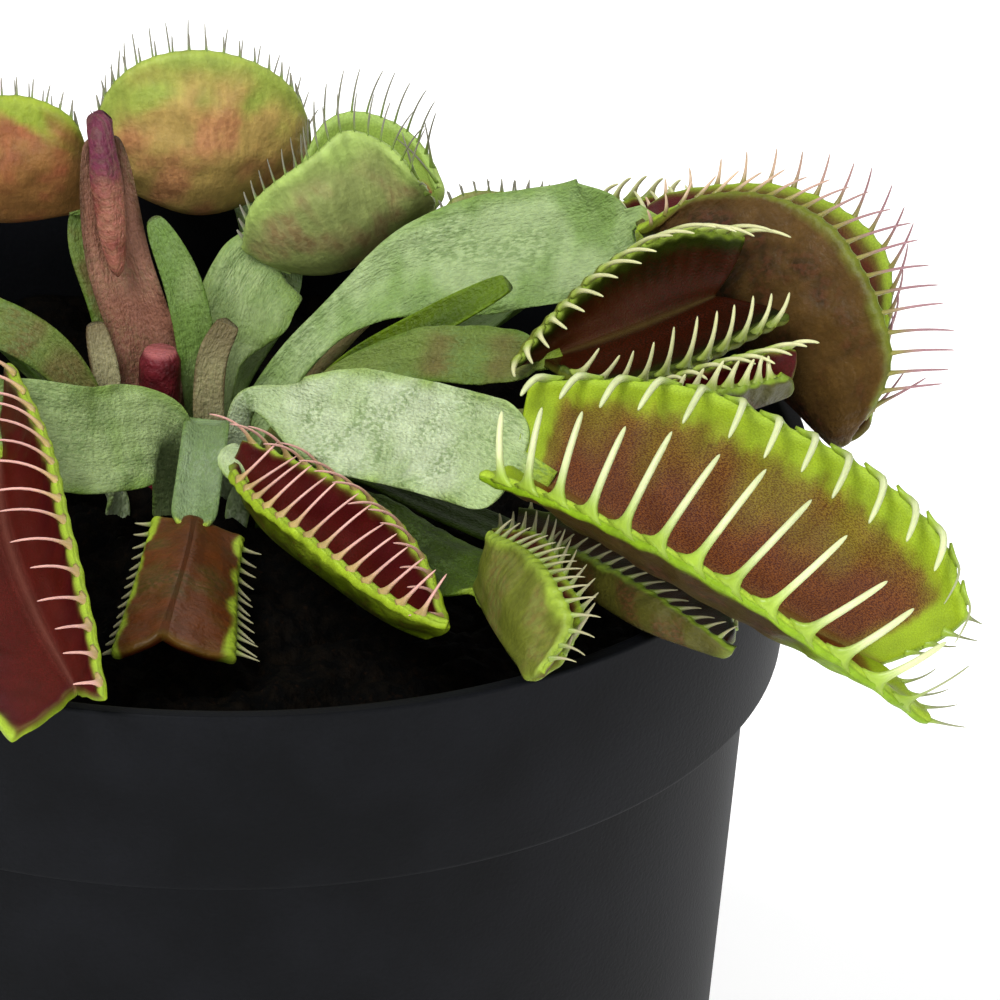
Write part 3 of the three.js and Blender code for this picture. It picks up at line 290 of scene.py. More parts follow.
plan_leaf(
    "leaf_back_middle", width=[1.8, 7, 1.6], grow=[0.55, 0.75], up=[0, -0.9, 0.4], fold=4,
    path=[[0.4, 12.8, 61], [0.5, 13.2, 70], [2, 15.5, 76.4], [3, 17, 78.6], [4.5, 18.5, 80]],
    trap=dict(
        bulge=[1, 1.6], teeth=[12, 15], lean=[[0.05, 0.55], [0.05, 0.55]],
        tooth=[[0.6, 3.6, 4.4], [0.6, 2.6, 4]], curl=[10, 15],
        rib=[[4.5, 18.5, 80], [8.5, 18.8, 79.4], [13, 20, 81.2], [15.5, 20, 84]],
        lobes=[
            [[4.2, 21, 82], [6.2, 22.5, 85.9], [7.9, 23.5, 88.9], [9.9, 24, 89.6], [12.3, 23.8, 89.2],
                [14.3, 23, 88.3], [15.6, 21.8, 86.9], [16.2, 20.5, 85.3]],
            [[2, 17.5, 81.5], [2.8, 16, 85.8], [7, 15.5, 89.8], [9.3, 16.3, 91.4], [12, 16.3, 90.6],
                [13.9, 15.8, 88.9], [15.1, 17.2, 86.2]],
        ],
    ),
)
plan_leaf(
    "leaf_back", width=[1.8, 3.4, 1.6], shoulder=[0.84, 0.97], up=[0, -0.6, 0.8],
    path=[[-2.4, 14.4, 61], [-2.2, 15.4, 70], [1, 21.5, 76], [5.6, 27, 79.5], [6.5, 30, 82.5]],
    trap=dict(
        bulge=[2, 1.6], teeth=[14, 14], lean=[[-0.25, 0.25], [-0.25, 0.25]],
        tooth=[[1.2, 1.2, 1.2], [2.5, 3, 2.5]], curl=[20, 20],
        rib=[[6.5, 30, 82.5], [2.5, 28, 81], [-1.5, 27, 80.4], [-8.5, 26.5, 83.5]],
        lobes=[
            [[7, 28, 85.5], [5.5, 26, 90.5], [2.5, 25, 93], [-1.5, 24.5, 94], [-5.5, 24.5, 93],
                [-8, 24.5, 90.5], [-9, 24.5, 86]],
            [[7, 35, 82], [5, 39.5, 84], [-1.5, 42, 86], [-6, 41, 85.5], [-8, 37, 84.5], [-9, 31, 83]],
        ],
    ),
)
plan_leaf(
    "leaf_back_left", width=[1.8, 3.4, 1.6], shoulder=[0.84, 0.97], up=[0.1, -0.6, 0.8],
    path=[[-5.4, 12.8, 61], [-5.8, 13.4, 70], [-7.2, 15.5, 76.5], [-8.8, 17, 81], [-9.5, 18, 84.5]],
    trap=dict(
        bulge=[1.6, 1.4], teeth=[12, 12], lean=[[-0.25, 0.25], [-0.25, 0.25]],
        tooth=[[1.2, 1.5, 1.5], [2, 2.5, 2]], curl=[20, 25],
        rib=[[-9.5, 18, 84.5], [-15, 17, 84], [-21, 16.5, 85]],
        lobes=[
            [[-9.5, 17, 89], [-10.5, 15.5, 92.5], [-14, 15.5, 94], [-17.5, 15, 93.5], [-20.5, 15, 90.5],
                [-21.5, 15.5, 87]],
            [[-10, 23, 86], [-12, 26.5, 87], [-15, 28, 87.5], [-18, 27, 87], [-21.5, 20, 85]],
        ],
    ),
)
plan_leaf(
    "leaf_behind_right", width=[1.8, 3.4, 1.4], shoulder=[0.84, 0.97], up=[0, -0.7, 0.7],
    path=[[3.8, 12.2, 61], [4.4, 12.2, 70], [8.6, 12.9, 76.8], [13, 15, 80.4], [16.9, 16.5, 82.6]],
    trap=dict(
        bulge=[0.5, 0.5], teeth=[11, 11], lean=[[-0.1, 0.4], [-0.1, 0.4]], tooth=[[0.8, 1, 1], [0.8, 1, 1]],
        curl=[20, 20],
        rib=[[16.9, 16.5, 82.6], [21.1, 17, 83.8], [25.2, 17.8, 85]],
        lobes=[
            [[16.4, 18.2, 84], [17.4, 18.6, 85.1], [19.3, 19, 85.5], [21.8, 19.3, 85.4], [24.2, 19.3, 85.1],
                [25.5, 18.6, 84.8]],
            [[16.1, 15.2, 85], [17.1, 15, 86.7], [18.7, 15.2, 87.3], [21.4, 15.8, 87], [23.9, 16.5, 86.6],
                [25.2, 17.2, 85.7]],
        ],
    ),
)
plan_leaf(
    "leaf_left", width=[1.8, 3.6, 1.8], up=[0.05, -0.75, 0.65], fold=10,
    path=[[-6.8, 6.6, 61], [-7.2, 6.2, 70], [-11.5, 6, 78], [-19.5, 6, 82], [-27, 6, 84]],
    trap=plain_trap(
        start=[-27, 6, 84], tip=[-45, 2, 80], mouth=[-0.1, -0.2, 0.97], lobe=10.5, spread=[42, 38], sag=1.4,
        bulge=1.2, teeth=14, tooth=5.5, curl=60,
    ),
)
plan_leaf(
    "leaf_left_behind", width=[1.6, 2.6, 1.6], up=[0, -0.6, 0.8],
    path=[[-7.2, 9.6, 61], [-8, 10, 69.5], [-11.5, 12.6, 75], [-18.5, 17, 77.5], [-27, 22, 80.5]],
    trap=plain_trap(
        start=[-27, 22, 80.5], tip=[-39.5, 31.5, 79.5], mouth=[-0.1, 0.1, 0.98], lobe=8.5, spread=[32, 32],
        sag=1, bulge=1, teeth=13, tooth=5, curl=60,
    ),
)
plan_leaf(
    "leaf_left_low", width=[1.8, 5.2, 1.6], up=[0, -0.2, 0.95],
    path=[[-6.8, 3.4, 61], [-7.2, 2.9, 70], [-14.5, 0.4, 75], [-22.5, -5.5, 77], [-29, -9.5, 79]],
    trap=plain_trap(
        start=[-29, -9.5, 79], tip=[-43, -19.5, 78.5], mouth=[-0.1, 0.1, 0.98], lobe=8.5, spread=[30, 30],
        sag=1, bulge=1, teeth=13, tooth=5, curl=60,
    ),
)
plan_leaf(
    "leaf_far_back", width=[1.8, 4.4, 1.6], up=[0, 0.3, 0.95],
    path=[[1, 16.4, 61], [1.6, 17.4, 69], [4.4, 24.5, 73.4], [3.6, 34, 76.6], [1, 42, 78.2]],
    trap=plain_trap(
        start=[1, 42, 78.2], tip=[-3, 54.5, 73.5], mouth=[0, 0.35, 0.93], lobe=6, spread=[45, 45], sag=1,
        bulge=1, teeth=12, tooth=4, curl=75,
    ),
)
plan_leaf(
    "leaf_far_back_left", width=[1.8, 5.2, 1.6], grow=[0.4, 0.7], up=[0, 0.3, 0.95],
    path=[[-8.6, 13, 61], [-10, 14.2, 69], [-16, 19.6, 73.6], [-22.5, 27.5, 76.4], [-27, 34, 78.4]],
    trap=plain_trap(
        start=[-27, 34, 78.4], tip=[-33, 46.5, 75.5], mouth=[-0.1, 0.3, 0.95], lobe=8, spread=[40, 40],
        sag=1, bulge=1, teeth=12, tooth=4.5, curl=60,
    ),
)
plan_leaf(
    "leaf_far_back_right", width=[1.8, 4.6, 1.6], up=[0, 0.3, 0.95],
    path=[[6.4, 9.6, 61], [7.2, 10.2, 69], [14.6, 15.4, 72.6], [20.5, 20, 75], [26, 25, 76.8]],
    trap=plain_trap(
        start=[26, 25, 76.8], tip=[36, 33, 76.4], mouth=[0.1, 0.3, 0.95], lobe=5, spread=[45, 45], sag=0.5,
        bulge=0.8, teeth=11, tooth=3, curl=70,
    ),
)
plan_leaf(
    "leaf_thin", width=[1.4, 2.5, 1.2], grow=[0.2, 0.5], shoulder=[0.75, 1], up=[-0.1, -0.7, 0.7], fold=14,
    path=[[4.9, 8.2, 61], [5.4, 7.8, 70], [9.8, 5.6, 77.2], [15.6, 4, 82], [20.8, 3.6, 85.4]],
)
plan_leaf(
    "young_leaf_with_bud", width=[2.4, 5.2, 2.4], grow=[0.1, 0.4], shoulder=[0.6, 1], up=[0.12, -1, 0.1],
    fold=24,
    path=[[-4.4, 10.6, 61], [-4.2, 10.8, 70], [-5, 12, 76.5], [-7, 12.8, 83], [-8.2, 13.5, 91.8]],
    bud=dict(top=[-8.1, 11.6, 92.2], bottom=[-6.8, 10.2, 82.3], radius=1.15),
)
plan_leaf(
    "young_leaf_small", width=[1.6, 3, 0.9], grow=[0.3, 0.6], shoulder=[0.7, 1], up=[0.1, -1, 0.2], fold=16,
    path=[[-1, 10, 61], [-0.9, 9.8, 70], [-1, 9.6, 76], [-2.2, 10, 82], [-4.3, 10.8, 86.6]],
)
plan_leaf(
    "leaf_dry_stub", width=[1.6, 2.3, 1.6], grow=[0.3, 0.6], shoulder=[0.8, 1], up=[0.1, -1, 0.1], fold=10,
    path=[[0.2, 7, 61], [0.1, 6.8, 70], [-0.2, 6.6, 74.5], [0.1, 6.8, 78], [1.1, 7, 80.3]],
)
plan_leaf(
    "leaf_stub_left", width=[1.4, 2.1, 1.2], grow=[0.3, 0.6], shoulder=[0.8, 1], up=[0.2, -1, 0.2], fold=12,
    path=[[-7, 8.2, 61], [-7.2, 8.4, 70], [-7.6, 8.8, 75], [-8.4, 9.6, 78.8]],
)


# ---------------------------------------------------------------- colours
def tint(red, green, blue):
    """A display colour, 0 to 255, as linear light."""
    return (np.array([red, green, blue]) / 255) ** 2.2


def stalk_colours(face, patch, edge, specks):
    """A stalk's face, the patches on it and its edges. specks: how strongly its specks show."""
    return {"face": tint(*face), "patch": tint(*patch), "edge": tint(*edge), "specks": specks}


SILVER = stalk_colours((178, 192, 154), (158, 177, 128), (138, 162, 90), 0.6)
SILVER_DEEP = stalk_colours((148, 168, 116), (110, 138, 70), (112, 140, 66), 0.6)
SILVER_SHADE = stalk_colours((138, 156, 104), (118, 140, 80), (108, 134, 60), 0.5)
SILVER_GREY = stalk_colours((120, 138, 102), (100, 120, 78), (98, 122, 66), 0.5)
GREEN_BROWN = stalk_colours((100, 118, 56), (102, 88, 54), (82, 106, 36), 0.4)
RUSSET = stalk_colours((130, 118, 78), (120, 100, 68), (104, 110, 52), 0.2)
FRESH = stalk_colours((76, 96, 4), (52, 70, 3), (94, 120, 12), 0.08)
# A deep green stalk colour, darkened further by painted shade where it lies under other leaves.
GREEN_IN_PAINTED_SHADE = stalk_colours((46, 62, 8), (34, 46, 6), (66, 88, 18), 0.2)
PURPLE_BROWN = stalk_colours((148, 106, 88), (126, 84, 68), (78, 56, 40), 0.12)
GREY_DRY = stalk_colours((158, 152, 114), (130, 122, 88), (86, 70, 48), 0.1)
SPRING = stalk_colours((98, 124, 60), (124, 144, 88), (82, 110, 42), 0.5)


def inside_colours(deep, middle, border, rim, fold, share, ends, tip_painted_shade=0.0, second=0.0):
    """A lobe's inside near the fold and further out, its border, its rim and the fold's line, which is a
    pale midrib with a painted highlight along it. share: the border's share of the depth. ends: where the
    border takes over at the lobe's ends. tip_painted_shade: how much painted shade darkens the tip. second:
    how much painted shade darkens the second lobe."""
    return {
        "deep": tint(*deep), "middle": tint(*middle), "border": tint(*border), "rim": tint(*rim),
        "fold": tint(*fold), "share": share, "ends": ends, "tip_painted_shade": tip_painted_shade, "second": second,
    }


RED_BROWN = inside_colours(
    (104, 60, 26), (116, 102, 34), (132, 154, 34), (148, 174, 54), (120, 110, 50),
    share=0.18, ends=(0.64, 0.97),
)
CRIMSON = inside_colours(
    (80, 24, 20), (74, 20, 24), (84, 66, 32), (140, 164, 52), (128, 78, 66),
    share=0.07, ends=(0.86, 1.02),
)
# A dark red inside in painted shade: its dark colours, darker tip and darker second lobe are painted shade
# over the lobe's own red.
RED_IN_PAINTED_SHADE = inside_colours(
    (66, 40, 18), (46, 42, 16), (58, 68, 20), (128, 150, 52), (82, 72, 36),
    share=0.2, ends=(0.97, 1.1), tip_painted_shade=0.5, second=0.72,
)
RUST = inside_colours(
    (92, 40, 16), (74, 30, 16), (122, 142, 44), (150, 170, 60), (104, 82, 36),
    share=0.14, ends=(1.1, 1.3), tip_painted_shade=0.3,
)
PINK = inside_colours(
    (170, 100, 80), (168, 120, 84), (134, 160, 72), (150, 176, 92), (150, 140, 80),
    share=0.4, ends=(0.8, 1.0),
)


def outside_colours(face, blush, rim, share, start, reach, tip=1.1, shade=0.2, ends=0.6):
    """A lobe's outside: its face, the blush on it and its rim. share: the blush's share of the face.
    start, reach: where the rim's colour begins and how far it takes to come in, as shares of the depth.
    tip: where along the lobe the rim's colour takes over. shade: how much painted shade darkens the face
    near the fold. ends: how far the lobe's ends take the rim's colour."""
    return {
        "face": tint(*face), "blush": tint(*blush), "rim": tint(*rim), "share": share, "start": start,
        "reach": reach, "tip": tip, "shade": shade, "ends": ends,
    }


OUT_LIME = outside_colours((96, 116, 18), (70, 84, 12), (140, 164, 40), 0.4, 0.66, 0.2)
# A brown outside darkened by painted shade, for a lobe whose outer face lies in shade.
OUT_SHADED_UMBER = outside_colours((56, 44, 17), (46, 34, 18), (116, 147, 26), 0.4, 0.9, 0.07, tip=0.75)
# A brown outside in painted shade: its dim face and strong darkening towards the fold are painted shade
# over the bowl's own brown.
OUT_SHADED_BROWN = outside_colours((78, 58, 30), (50, 37, 21), (98, 106, 34), 0.55, 0.93, 0.07, shade=0.82)
OUT_RUST = outside_colours(
    (80, 43, 18), (66, 52, 20), (138, 160, 46), 0.4, 0.76, 0.12, shade=0.1, ends=0.1
)
OUT_ORANGE = outside_colours((164, 138, 80), (178, 128, 86), (142, 158, 70), 0.5, 0.64, 0.3, shade=0.0)
OUT_TAN = outside_colours((134, 96, 56), (142, 86, 58), (134, 150, 52), 0.5, 0.74, 0.2, shade=0.15)
OUT_PALE = outside_colours((132, 142, 84), (138, 128, 86), (150, 172, 92), 0.35, 0.74, 0.25, shade=0.0)
OUT_KHAKI = outside_colours((122, 118, 74), (130, 104, 74), (124, 128, 72), 0.4, 0.6, 0.3)
OUT_MOSS = outside_colours((92, 98, 36), (106, 110, 54), (128, 148, 52), 0.4, 0.8, 0.16)
OUT_OLIVE = outside_colours((74, 72, 30), (68, 58, 30), (116, 138, 46), 0.4, 0.84, 0.12)
OUT_MAROON = outside_colours((42, 28, 14), (34, 22, 12), (96, 104, 34), 0.4, 0.9, 0.1)


def tooth_kind(foot, tip, half, blunt=0.5, flare=1.0, hairs=1.0, first=None):
    """foot, tip: colours. half: half a tooth's width in millimetres, and blunt: the share of it left at
    the tip. flare: how far the margin rises to each tooth. hairs: where the last, hair-like teeth
    begin, as a share of the margin. first: the tip's colour next to the stalk, if it differs."""
    return {
        "foot": tint(*foot), "tip": tint(*tip), "half": half, "blunt": blunt, "flare": flare,
        "hairs": hairs, "first": tint(*(first or tip)),
    }


CREAM_TEETH = tooth_kind((134, 160, 50), (194, 202, 150), 0.3, blunt=0.72, hairs=0.86)
PINK_TEETH = tooth_kind((166, 144, 88), (206, 156, 146), 0.12, blunt=0.7, flare=0.7)
MAUVE_TEETH = tooth_kind((124, 120, 56), (150, 112, 118), 0.13, flare=0.35, first=(206, 176, 146))
GREEN_TEETH = tooth_kind((140, 158, 66), (196, 196, 146), 0.19, blunt=0.6)
SHORT_TEETH = tooth_kind((120, 140, 60), (150, 146, 112), 0.1, flare=0.5)
FINE_TEETH = tooth_kind((110, 134, 56), (120, 118, 104), 0.09, flare=0.15)


def dress(stalk, inside=CRIMSON, outside=OUT_OLIVE, teeth=GREEN_TEETH, comb=1):
    """The colours of one leaf. comb: how many times as many teeth as the model's leaf has."""
    return {"stalk": stalk, "inside": inside, "outside": outside, "teeth": teeth, "comb": comb}


LOOKS = {
    "leaf_front_right": dress(SILVER, RED_BROWN, OUT_SHADED_UMBER, CREAM_TEETH),
    "leaf_right_back": dress(SILVER_DEEP, CRIMSON, OUT_SHADED_BROWN, MAUVE_TEETH, 1.45),
    "leaf_right": dress(GREEN_BROWN, RED_IN_PAINTED_SHADE, OUT_MAROON, GREEN_TEETH),
    "leaf_small_right": dress(GREEN_BROWN, CRIMSON, OUT_OLIVE, GREEN_TEETH),
    "leaf_left_front": dress(SILVER_SHADE, CRIMSON, OUT_LIME, PINK_TEETH),
    "leaf_front": dress(SILVER_GREY, RUST, OUT_RUST, SHORT_TEETH, 1.4),
    "leaf_front_low": dress(SILVER, CRIMSON, OUT_LIME, PINK_TEETH),
    "leaf_over_rim": dress(GREEN_IN_PAINTED_SHADE, CRIMSON, OUT_MOSS, SHORT_TEETH, 1.3),
    "leaf_under_front_right": dress(GREEN_IN_PAINTED_SHADE, RED_IN_PAINTED_SHADE, OUT_OLIVE, SHORT_TEETH, 1.2),
    "leaf_back_middle": dress(SILVER_SHADE, PINK, OUT_PALE, FINE_TEETH, 1.5),
    "leaf_back": dress(GREEN_BROWN, PINK, OUT_ORANGE, FINE_TEETH, 1.5),
    "leaf_back_left": dress(GREEN_BROWN, PINK, OUT_TAN, FINE_TEETH, 1.5),
    "leaf_behind_right": dress(RUSSET, CRIMSON, OUT_KHAKI, FINE_TEETH),
    "leaf_left": dress(GREEN_BROWN, CRIMSON, OUT_OLIVE, PINK_TEETH),
    "leaf_left_behind": dress(PURPLE_BROWN),
    "leaf_left_low": dress(SILVER, RED_BROWN, OUT_LIME, CREAM_TEETH),
    "leaf_far_back": dress(SPRING),
    "leaf_far_back_left": dress(SPRING, CRIMSON, OUT_LIME),
    "leaf_far_back_right": dress(SPRING, CRIMSON, OUT_LIME),
    "leaf_thin": dress(FRESH),
    "young_leaf_with_bud": dress(PURPLE_BROWN),
    "young_leaf_small": dress(SPRING),
    "leaf_dry_stub": dress(GREY_DRY),
    "leaf_stub_left": dress(GREY_DRY),
}


# ---------------------------------------------------------------- small helpers
SLOTS = {part["node"]: part["material_slot"] for part in frame["record"]["subparts"]}


def smoothstep(low, high, x):
    """0 below low, 1 above high and an even curve between them."""
    t = np.clip((x - low) / (high - low), 0, 1)
    return t * t * (3 - 2 * t)


def mix(a, b, share):
    """Colours a and b mixed point by point."""
    share = np.asarray(share)[..., None]
    return a * (1 - share) + b * share


def ripple(points, size, seed):
    """Smooth noise from about -1 to 1 whose features are of that size, in millimetres."""
    draw = np.random.default_rng(seed)
    total = np.zeros(points.shape[:-1])
    for _ in range(7):
        way = unit(draw.normal(size=3)) * (2 * math.pi / size) * draw.uniform(0.55, 1.5)
        total += np.sin(points @ way + draw.uniform(0, 2 * math.pi))
    return np.clip(total / 2.6, -1, 1)


def joined(*parts):
    """Numbers or arrays as the coordinates of points, or as rows of them."""
    return np.stack(np.broadcast_arrays(*parts), -1)


class Curve:
    """A smooth centripetal curve through points, read by its share of length."""

    def __init__(self, points):
        p = np.array(points, float)
        p = np.vstack([2 * p[0] - p[1], p, 2 * p[-1] - p[-2]])
        x = np.linspace(0, 1, 65)[:, None]
        pieces = []
        for a, b, c, d in zip(p, p[1:], p[2:], p[3:]):
            before, span, after = (math.sqrt(np.linalg.norm(q - r)) for q, r in ((b, a), (c, b), (d, c)))
            leave = ((b - a) / before - (c - a) / (before + span) + (c - b) / span) * span
            arrive = ((c - b) / span - (d - b) / (span + after) + (d - c) / after) * span
            cubic = b + leave * x + (3 * (c - b) - 2 * leave - arrive) * x**2
            pieces.append(cubic + (2 * (b - c) + leave + arrive) * x**3)
        self.fine = np.vstack(pieces)
        steps = np.linalg.norm(np.diff(self.fine, axis=0), axis=1)
        self.length = steps.sum()
        self.share = np.concatenate([[0], np.cumsum(steps)]) / self.length

    def at(self, share):
        return np.stack([np.interp(share, self.share, axis) for axis in self.fine.T], axis=-1)

    def along(self, share):
        share = np.asarray(share)
        return unit(self.at(np.minimum(1, share + 0.004)) - self.at(np.maximum(0, share - 0.004)))


class Skin:
    """Points, faces and paint that become one mesh. grain brings out specks. flow is each point's
    place along and across its part in millimetres, which streaks follow."""

    def __init__(self):
        self.points = []
        self.paint = []
        self.grain = []
        self.flow = []
        self.faces = []
        self.slots = []
        self.count = 0

    def add(self, points, quads, paint, grain, flow, slots):
        self.points.append(points.reshape(-1, 3))
        self.paint.append(np.broadcast_to(paint, points.shape).reshape(-1, 3))
        self.grain.append(np.broadcast_to(grain, points.shape[:-1]).reshape(-1))
        self.flow.append(np.broadcast_to(flow, points.shape).reshape(-1, 3))
        self.faces.append(quads + self.count)
        self.slots.append(slots)
        self.count += self.points[-1].shape[0]

    def tube(self, rings, paint, grain=0.0, slots=0, flow=(0, 0, 0)):
        """Rings of points joined in order. Each ring runs over its upper side and back under it, so
        strips across the first and last ring close the ends. slots: one, or one for each point of a
        ring."""
        rows, around = rings.shape[:2]
        i = np.arange(rows - 1)[:, None] * around
        j = np.arange(around)[None, :]
        k = (j + 1) % around
        sides = np.stack([i + j, i + k, i + around + k, i + around + j], -1).reshape(-1, 4)
        each = np.broadcast_to(slots, (rows - 1, around)).reshape(-1)
        m = np.arange(around // 2 - 1)
        start = np.stack([around - 1 - m, around - 2 - m, m + 1, m], -1)
        last = np.stack([m, m + 1, around - 2 - m, around - 1 - m], -1) + (rows - 1) * around
        ends = np.broadcast_to(slots, (around,))[m]
        quads = np.concatenate([sides, start, last])
        self.add(rings, quads, paint, grain, flow, np.concatenate([each, ends, ends]))

    def mesh(self, name, materials):
        mesh = bpy.data.meshes.new(name)
        points = np.concatenate(self.points)
        quads = np.concatenate(self.faces)
        mesh.from_pydata((points * MM).tolist(), [], quads.tolist())
        for material in materials:
            mesh.materials.append(material)
        mesh.polygons.foreach_set("material_index", np.concatenate(self.slots).astype(np.int32))
        mesh.polygons.foreach_set("use_smooth", np.ones(len(quads), bool))
        paint = mesh.attributes.new("paint", "FLOAT_COLOR", "POINT")
        rgba = np.ones((len(points), 4), np.float32)
        rgba[:, :3] = np.concatenate(self.paint)
        paint.data.foreach_set("color", rgba.ravel())
        grain = mesh.attributes.new("grain", "FLOAT", "POINT")
        grain.data.foreach_set("value", np.concatenate(self.grain).astype(np.float32))
        flow = mesh.attributes.new("flow", "FLOAT_VECTOR", "POINT")
        flow.data.foreach_set("vector", np.concatenate(self.flow).astype(np.float32).ravel())
        mesh.update()
        return mesh


def turned_mesh(name, rows, ends, flip=False):
    """A closed mesh of rows of points around the middle, from one end point to the other."""
    count, around = rows.shape[:2]
    points = np.concatenate([[ends[0]], rows.reshape(-1, 3), [ends[1]]])
    last = 1 + (count - 1) * around
    faces = []
    for i in range(around):
        k = (i + 1) % around
        faces.append([0, 1 + k, 1 + i])
        for a in range(1, last, around):
            faces.append([a + i, a + k, a + around + k, a + around + i])
        faces.append([last + i, last + k, len(points) - 1])
    if flip:
        faces = [[face[0], *face[:0:-1]] for face in faces]
    mesh = bpy.data.meshes.new(name)
    mesh.from_pydata((points * MM).tolist(), [], faces)
    return mesh


def put(name, mesh, slot_name, *nodes):
    """A piece of the object, in place of CAD nodes if any are named."""
    piece = bpy.data.objects.new(name, mesh)
    scene.collection.objects.link(piece)
    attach(piece, "root")
    if nodes:
        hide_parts(*nodes)
    return piece


# ---------------------------------------------------------------- materials
def node(tree, kind, **values):
    made = tree.nodes.new(kind)
    for key, value in values.items():
        if hasattr(made, key):
            setattr(made, key, value)
        else:
            made.inputs[key].default_value = value
    return made


def noise(tree, size, detail=3.0):
    """Noise in the object's own space, with features of that size in millimetres."""
    place = node(tree, "ShaderNodeTexCoord")
    made = node(tree, "ShaderNodeTexNoise", Scale=1 / (size * MM), Detail=detail)
    tree.links.new(place.outputs["Object"], made.inputs["Vector"])
    return made.outputs["Fac"]


def streaks(tree, size, stretch, detail=3.0):
    """Noise that follows the part's flow: features of that size in millimetres, drawn out along it."""
    place = node(tree, "ShaderNodeAttribute", attribute_name="flow")
    scaled = node(tree, "ShaderNodeVectorMath", operation="MULTIPLY")
    tree.links.new(place.outputs["Vector"], scaled.inputs[0])
    scaled.inputs[1].default_value = (1 / (size * stretch), 1 / size, 1 / size)
    made = node(tree, "ShaderNodeTexNoise", Scale=1.0, Detail=detail)
    tree.links.new(scaled.outputs["Vector"], made.inputs["Vector"])
    return made.outputs["Fac"]


def ramp(tree, value, *stops):
    """The colour for that value. stops: two places, each with its colour or its shade of grey."""
    made = node(tree, "ShaderNodeValToRGB")
    for element, (position, colour) in zip(made.color_ramp.elements, stops):
        element.position = position
        element.color = (*np.broadcast_to(colour, 3), 1)
    tree.links.new(value, made.inputs["Fac"])
    return made.outputs["Color"]


def blended(tree, way, share, a, b):
    """Colours a and b, by a mix of that way. share: a number or a socket."""
    made = node(tree, "ShaderNodeMix", data_type="RGBA", blend_type=way)
    sockets = {"Factor": made.inputs[0], "A": made.inputs[6], "B": made.inputs[7]}
    for key, value in (("Factor", share), ("A", a), ("B", b)):
        if isinstance(value, bpy.types.NodeSocket):
            tree.links.new(value, sockets[key])
        else:
            sockets[key].default_value = value
    return made.outputs[2]


def bump(tree, value, depth):
    """A bump of that depth in millimetres."""
    made = node(tree, "ShaderNodeBump", Distance=depth * MM)
    tree.links.new(value, made.inputs["Height"])
    return made.outputs["Normal"]


def new_material(name, roughness, gloss):
    """A material, its nodes and its shader. gloss: how strongly it mirrors."""
    material = bpy.data.materials.new(name)
    material.use_nodes = True
    shader = material.node_tree.nodes["Principled BSDF"]
    shader.inputs["Roughness"].default_value = roughness
    shader.inputs["Specular IOR Level"].default_value = gloss
    return material, material.node_tree, shader


def tissue(name, mottle, streak, fleck, pore, depth, roughness, gloss=0.25, thin=0.0):
    """Living tissue, coloured by the mesh's paint.
    mottle: how much lighter and darker clouds vary it. streak: the size, stretch and strength of the
    fine streaks. fleck: the colour, size and stretch of the specks that the mesh's grain brings out.
    pore and depth: size and depth of the surface's relief. thin: how much light soaks into it."""
    material, tree, shader = new_material(name, roughness, gloss)
    paint = node(tree, "ShaderNodeAttribute", attribute_name="paint").outputs["Color"]
    clouds = ramp(tree, noise(tree, 1.4, 5.0), (0.3, 1 - mottle), (0.7, 1 + mottle))
    colour = blended(tree, "MULTIPLY", 1.0, paint, clouds)
    size, stretch, strength = streak
    lines = streaks(tree, size, stretch)
    shade = ramp(tree, lines, (0.36, 1 - strength), (0.62, 1 + strength))
    colour = blended(tree, "MULTIPLY", 1.0, colour, shade)
    if fleck:
        fleck_colour, fleck_size, fleck_stretch = fleck
        grain = node(tree, "ShaderNodeAttribute", attribute_name="grain").outputs["Fac"]
        specks = ramp(tree, streaks(tree, fleck_size, fleck_stretch, 1.5), (0.45, 0), (0.58, 1))
        share = node(tree, "ShaderNodeMath", operation="MULTIPLY")
        tree.links.new(specks, share.inputs[0])
        tree.links.new(grain, share.inputs[1])
        colour = blended(tree, "MIX", share.outputs[0], colour, (*fleck_colour, 1))
    tree.links.new(colour, shader.inputs["Base Color"])
    relief = node(tree, "ShaderNodeMath", operation="ADD")
    tree.links.new(noise(tree, pore, 4.0), relief.inputs[0])
    tree.links.new(lines, relief.inputs[1])
    tree.links.new(bump(tree, relief.outputs[0], depth), shader.inputs["Normal"])
    shader.inputs["Subsurface Weight"].default_value = thin
    shader.inputs["Subsurface Radius"].default_value = (1.0, 0.8, 0.25)
    shader.inputs["Subsurface Scale"].default_value = 0.6 * MM
    return material


STALK_FLECK = (tint(104, 128, 74), 0.28, 2.0)
OUTER_FLECK = (tint(110, 62, 44), 0.4, 1.5)
INNER_FLECK = (tint(62, 24, 12), 0.13, 0.6)
LEAF_MATERIALS = [
    tissue("stalk_skin", 0.1, (0.16, 3.0, 0.12), STALK_FLECK, 0.35, 0.16, 0.5, thin=0.1),
    tissue("lobe_outside", 0.12, (0.3, 2.0, 0.08), OUTER_FLECK, 0.4, 0.08, 0.45, gloss=0.2, thin=0.08),
    tissue("lobe_inside", 0.08, (0.12, 1.0, 0.12), INNER_FLECK, 0.15, 0.04, 0.4, gloss=0.1, thin=0.03),
    tissue("tooth", 0.06, (0.2, 4.0, 0.08), None, 0.2, 0.02, 0.35, gloss=0.3, thin=0.1),
]
STALK, OUTSIDE, INSIDE, TEETH = range(4)  # places in LEAF_MATERIALS


# ---------------------------------------------------------------- winged stalk
STALK_EDGE = 0.4  # thickness at the edges
STALK_RIB = 1.2  # thickness along the midrib
RIB_WIDTH = 0.55
VEIN_PITCH = 1.3
STALK_ROWS = 80  # rings from the foot to the shoulder
SHOULDER_ROWS = 14
NECK_ROWS = 5
ACROSS = np.sin(np.linspace(-1, 1, 33) * math.pi / 2)  # places across a stalk, closer at its edges


def stalk_width(leaf, t):
    """How wide the stalk is at the share t of its length."""
    foot, widest, neck = leaf["width"]
    spread = foot + (widest - foot) * smoothstep(*leaf["grow"], t)
    start, end = leaf["shoulder"]
    fall = np.clip((t - start) / (end - start), 0, 1)
    return neck + (spread - neck) * np.sqrt(1 - fall**2)


